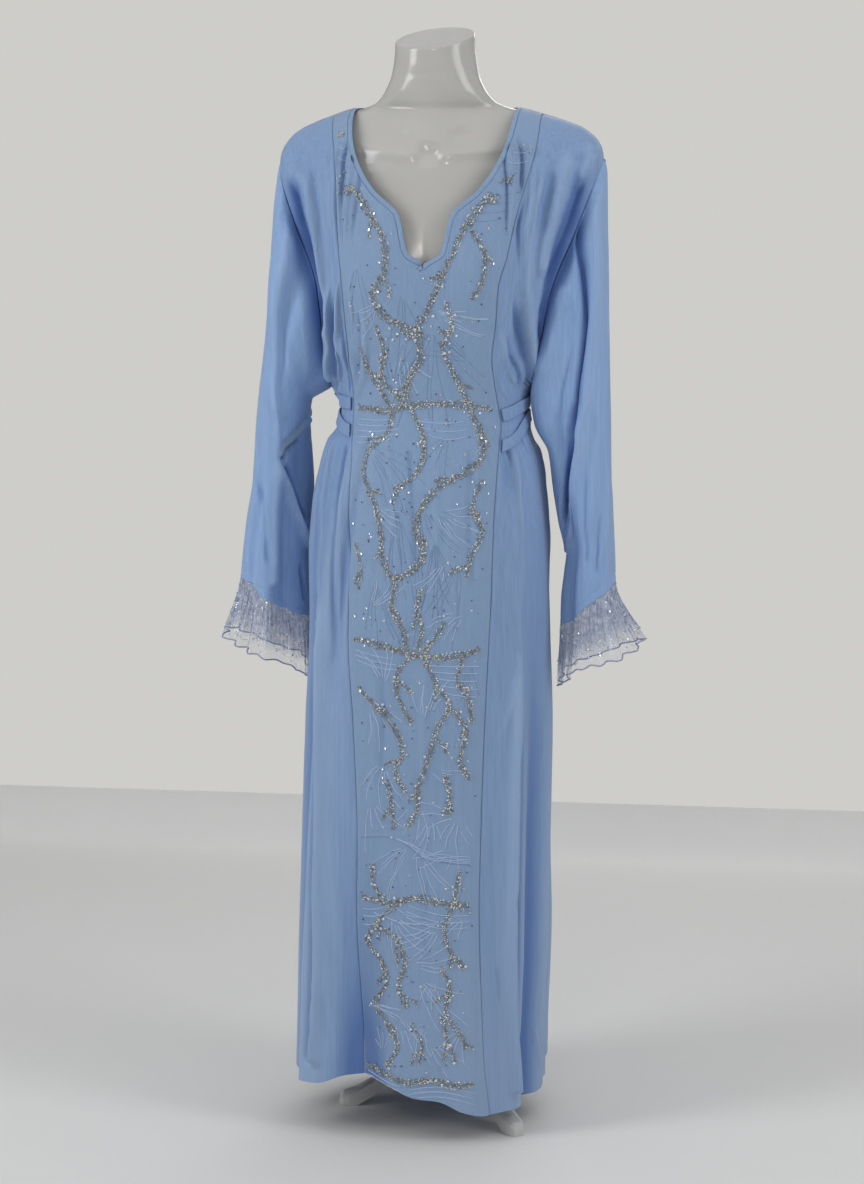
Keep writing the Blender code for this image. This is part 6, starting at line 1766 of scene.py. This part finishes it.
def embroider(panel):
    """Beads, sequins and threads, each set down where it meets the front panel from the front."""
    tree = BVHTree.FromObject(panel, bpy.context.evaluated_depsgraph_get())
    rng = random.Random(11)
    beads, shoot_beads, sequins, darks = [], [], [], []

    def spot(x, z):
        p, n = cast(tree, x + SHIFT.x, z)
        if p is None or p.y > 0.03:
            return None, None
        return p - SHIFT, (-n if n.y > 0 else n)

    def drop(store, x, z, size, sink=0.35):
        p, n = spot(x, z)
        if p is not None and on_cloth(x, z):
            store.append((p + n * size * (1 - sink), n, size, rng.uniform(0, FULL_TURN), rng.random()))

    def raised(lines, lift):
        """Lines of the chart as points just above the cloth."""
        out = []
        for line in lines:
            hits = [spot(x, z) for x, z in line]
            points = [p + n * lift for p, n in hits if p is not None]
            if len(points) > 2:
                out.append(points)
        return out

    # Lines of the dark strip of painted shade under each bead row.
    gap_shade_lines = []
    for line, width in stem_lines(BEAD_STEP):
        rows = max(2, round(width / BEAD_ROW))
        store = beads if width > SHOOT_WIDTH else shoot_beads
        swell = rng.uniform(0, FULL_TURN)
        for i, ((x, z), (x2, z2)) in enumerate(zip(line, line[1:])):
            way = math.atan2(z2 - z, x2 - x)
            wide = 1 + 0.22 * math.sin(i * 0.31 + swell) + rng.uniform(-0.12, 0.12)
            for k in range(rows):
                if rng.random() < BEAD_SKIPPED:
                    continue
                off = (k - (rows - 1) / 2) * BEAD_ROW * wide + rng.gauss(0, 0.0006)
                ahead = rng.uniform(-0.0012, 0.0012)
                bead_x = x + off * math.sin(way) + ahead * math.cos(way)
                bead_z = z - off * math.cos(way) + ahead * math.sin(way)
                drop(store, bead_x, bead_z, rng.uniform(*BEAD_RADIUS))
            if rng.random() < SEQUIN_SHARE:
                aside, lift = rng.gauss(0, 0.55) * width, rng.gauss(0, 0.004)
                drop(sequins, x + aside, z + lift, rng.uniform(*SEQUIN_SIZE), 0.2)
        gap_shade_lines.append((line, width * 0.50))
    for side, share, z, reach, count in STRAP_CLUSTERS:
        for _ in range(count):
            bead_x = strap_x(side, share, z) + rng.gauss(0, 0.5) * reach * 1.5
            bead_z = z + rng.gauss(0, 0.4) * reach
            drop(shoot_beads, bead_x, bead_z, rng.uniform(*BEAD_RADIUS))
    for _ in range(DOT_COUNT):
        z = rng.uniform(0.10, 1.33)
        x = panel_x(rng.random(), z)
        if z > 0.72 or rng.random() < 0.45:
            clear = rng.random() < (0.55 if x > 0.02 else 0.30)
            size = rng.uniform(*(DOT_SEQUIN_SIZE if clear else DOT_SIZE))
            drop(sequins if clear else darks, x, z, size, 0.5)
    scattered("embroidery_beads", bead_mesh(), beads, BEAD, BEADED)
    scattered("embroidery_shoot_beads", bead_mesh(), shoot_beads, BEAD, BEADED)
    scattered("embroidery_dark_beads", bead_mesh(), darks, DARK_BEAD, BEADED)
    scattered("embroidery_sequins", disc_mesh(8), sequins, SEQUIN, BEADED)
    bead_gap_shade(gap_shade_lines, spot)
    seam, seam_cords = seam_rows()
    pale = raised(fan_lines(PALE_FANS, 21, 1.35), 0.0002)
    # Dark lines of painted groove shade, sunk a little into the cloth.
    dark = raised(fan_lines(GROOVE_SHADE_FANS, 22, 1.45) + strap_rows(0), -0.0001)
    cords = raised(cord_rows() + seam_cords + strap_rows(1), 0.0001)
    tube("overlay_pale_threads", pale, 0.00058, THREAD_PALE, BEADED, 4)
    tube("overlay_painted_groove_shade", dark, 0.00046, GROOVE_SHADE_THREAD, BEADED, 4)
    tube("overlay_cords", cords, 0.00085, CORD_BLUE, BEADED, 5)
    tube("overlay_seam", raised([seam], 0.0), 0.0006, GROOVE_SHADE_THREAD, BEADED, 5)


def bead_gap_shade(lines, spot):
    """A flat dark strip under each row of beads: painted shade in the gaps between the beads."""
    points, faces = [], []
    for line, width in lines:
        previous = None
        for (x, z), (x2, z2) in zip(line, line[1:]):
            way = math.atan2(z2 - z, x2 - x)
            edge = []
            for off in (-width / 2, width / 2):
                at = (x + off * math.sin(way), z - off * math.cos(way))
                p, n = spot(*at)
                if p is not None and on_cloth(*at):
                    edge.append(p + n * 0.0003)
            if len(edge) < 2:
                previous = None
                continue
            start = len(points)
            points += edge
            if previous is not None:
                faces.append((previous, previous + 1, start + 1, start))
            previous = start
    obj = mesh_object("embroidery_bead_gap_shade", points, faces)
    face_out(obj)
    finish_piece(obj, BEAD_GAP_SHADE_PAINT, BEADED)


# Stage
CAMERA_PLACE = (0.6144, -4.1539, 1.35)
CAMERA_YAW, CAMERA_PITCH = math.radians(8.5), math.radians(7.92)
SENSOR, FOCAL_SHARE = 36.0, 2957 / 1184


def link_turned(name, data, place, look):
    """Adds a camera or light that looks along a direction."""
    obj = bpy.data.objects.new(name, data)
    bpy.context.scene.collection.objects.link(obj)
    obj.location = place
    obj.rotation_mode = "QUATERNION"
    obj.rotation_quaternion = look.to_track_quat("-Z", "Y")
    return obj


def camera():
    data = bpy.data.cameras.new("camera")
    data.sensor_width = SENSOR
    data.lens = SENSOR * FOCAL_SHARE
    level = math.cos(CAMERA_PITCH)
    look = Vector((-math.sin(CAMERA_YAW) * level, math.cos(CAMERA_YAW) * level, -math.sin(CAMERA_PITCH)))
    bpy.context.scene.camera = link_turned("camera", data, Vector(CAMERA_PLACE) + SHIFT, look)


FLOOR_REACH, FLOOR_BACK, COVE, FLOOR_DROP = 9.0, 1.6, 0.10, 0.0006
FADE_FROM, FADE_OVER = 1.9, 3.0
WALL_GREY = (0.615, 0.610, 0.585, 1.0)


def floor():
    """A pale floor that turns up a little behind the robe and fades to the wall's grey far out."""
    profile = [(y, 0.0) for y in np.linspace(-FLOOR_REACH, FLOOR_BACK, 40)]
    turns = np.linspace(0.1, math.pi / 2, 10)
    profile += [(FLOOR_BACK + COVE * math.sin(t), COVE - COVE * math.cos(t)) for t in turns]
    xs = np.linspace(-FLOOR_REACH, FLOOR_REACH, 60)
    points = [(x, y, z - FLOOR_DROP) for y, z in profile for x in xs]
    obj = mesh_object("studio_floor", points, grid_faces(len(profile), len(xs)))
    number(obj, "far", [smooth((math.hypot(x, y) - FADE_FROM) / FADE_OVER) for x, y, _ in points])
    paper = plain("studio_paper", (0.80, 0.795, 0.775), 0.7, 0.0, 0.2)
    tree = paper.node_tree
    surface = tree.nodes["Material Output"].inputs["Surface"]
    lit = surface.links[0].from_socket
    grey = tree.nodes.new("ShaderNodeEmission")
    grey.inputs["Color"].default_value = WALL_GREY
    mix_shader(tree, attribute(tree, "far"), lit, grey.outputs[0], surface)
    obj.data.materials.append(paper)


# Area lights: place, target, width and height, power, colour.
COOL, NEUTRAL, WARM = (0.95, 0.97, 1.0), (1.0, 1.0, 1.0), (1.0, 0.95, 0.86)
LIGHTS = {
    "side_left": ((-2.1, -1.5, 1.9), (0, 0, 0.95), (0.9, 2.2), 32, COOL),
    "side_right": ((2.2, -1.0, 1.9), (0, 0, 0.95), (0.9, 2.2), 22, COOL),
    "overhead": ((0, 0, 5.0), (0, 0, 0), (7.5, 7.5), 100, NEUTRAL),
    "front_fill": ((0.1, -3.6, 2.2), (0, 0, 1.0), (0.35, 0.6), 7, WARM),
    "back": ((0.3, 3.0, 2.4), (0, 0, 0.9), (1.6, 1.4), 16, NEUTRAL),
}
FILL_COLOUR, FILL_STRENGTH = (0.97, 0.98, 1.0, 1.0), 0.165


def lights():
    """The area lights, soft light from all round, and the wall's grey where only the camera looks."""
    for name, (place, target, size, power, colour) in LIGHTS.items():
        data = bpy.data.lights.new(name, "AREA")
        data.shape = "RECTANGLE"
        data.size, data.size_y = size
        data.energy, data.color = power, colour
        link_turned(name, data, place, Vector(target) - Vector(place))
    world = bpy.data.worlds.new("studio")
    bpy.context.scene.world = world
    world.use_nodes = True
    tree = world.node_tree
    fill = tree.nodes["Background"]
    fill.inputs["Color"].default_value = FILL_COLOUR
    fill.inputs["Strength"].default_value = FILL_STRENGTH
    wall = tree.nodes.new("ShaderNodeBackground")
    wall.inputs["Color"].default_value = WALL_GREY
    seen = tree.nodes.new("ShaderNodeLightPath").outputs["Is Camera Ray"]
    mix_shader(tree, seen, fill.outputs[0], wall.outputs[0], tree.nodes["World Output"].inputs["Surface"])
    bpy.context.scene.view_settings.view_transform = "Standard"


camera()
lights()
floor()
front = front_shell()
side_left = half_shell(-1, "front", "robe_side_front_left", "side_front_left")
side_right = half_shell(1, "front", "robe_side_front_right", "side_front_right")
back_left = half_shell(-1, "back", "robe_back_left", "back_left")
back_right = half_shell(1, "back", "robe_back_right", "back_right")
sleeve_left, hem_left = sleeve_shell(-1, "robe_sleeve_left", "sleeve_left")
sleeve_right, hem_right = sleeve_shell(1, "robe_sleeve_right", "sleeve_right")
frill_left, frill_left_grid = frill_shell(-1, "robe_frill_left", "ruffle_left", hem_left)
frill_right, frill_right_grid = frill_shell(1, "robe_frill_right", "ruffle_right", hem_right)
tube("frill_edges", [frill_left_grid[-1], frill_right_grid[-1]], 0.0011, LACE_EDGE, LACY, 6, True)
lace_trim("left", frill_left_grid, 31)
lace_trim("right", frill_right_grid, 32)
tie_upper = tie_shell("robe_tie_upper", BELT_UPPER, "belt_upper")
tie_lower = tie_shell("robe_tie_lower", BELT_LOWER, "belt_lower")
binding = binding_shell()
form_shell()
embroider(front)
for name in ("pole", "hub", "leg_1", "leg_2", "leg_3"):
    stand_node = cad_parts[name]
    stand_node.data.materials.clear()
    stand_node.data.materials.append(STAND_PAINT)
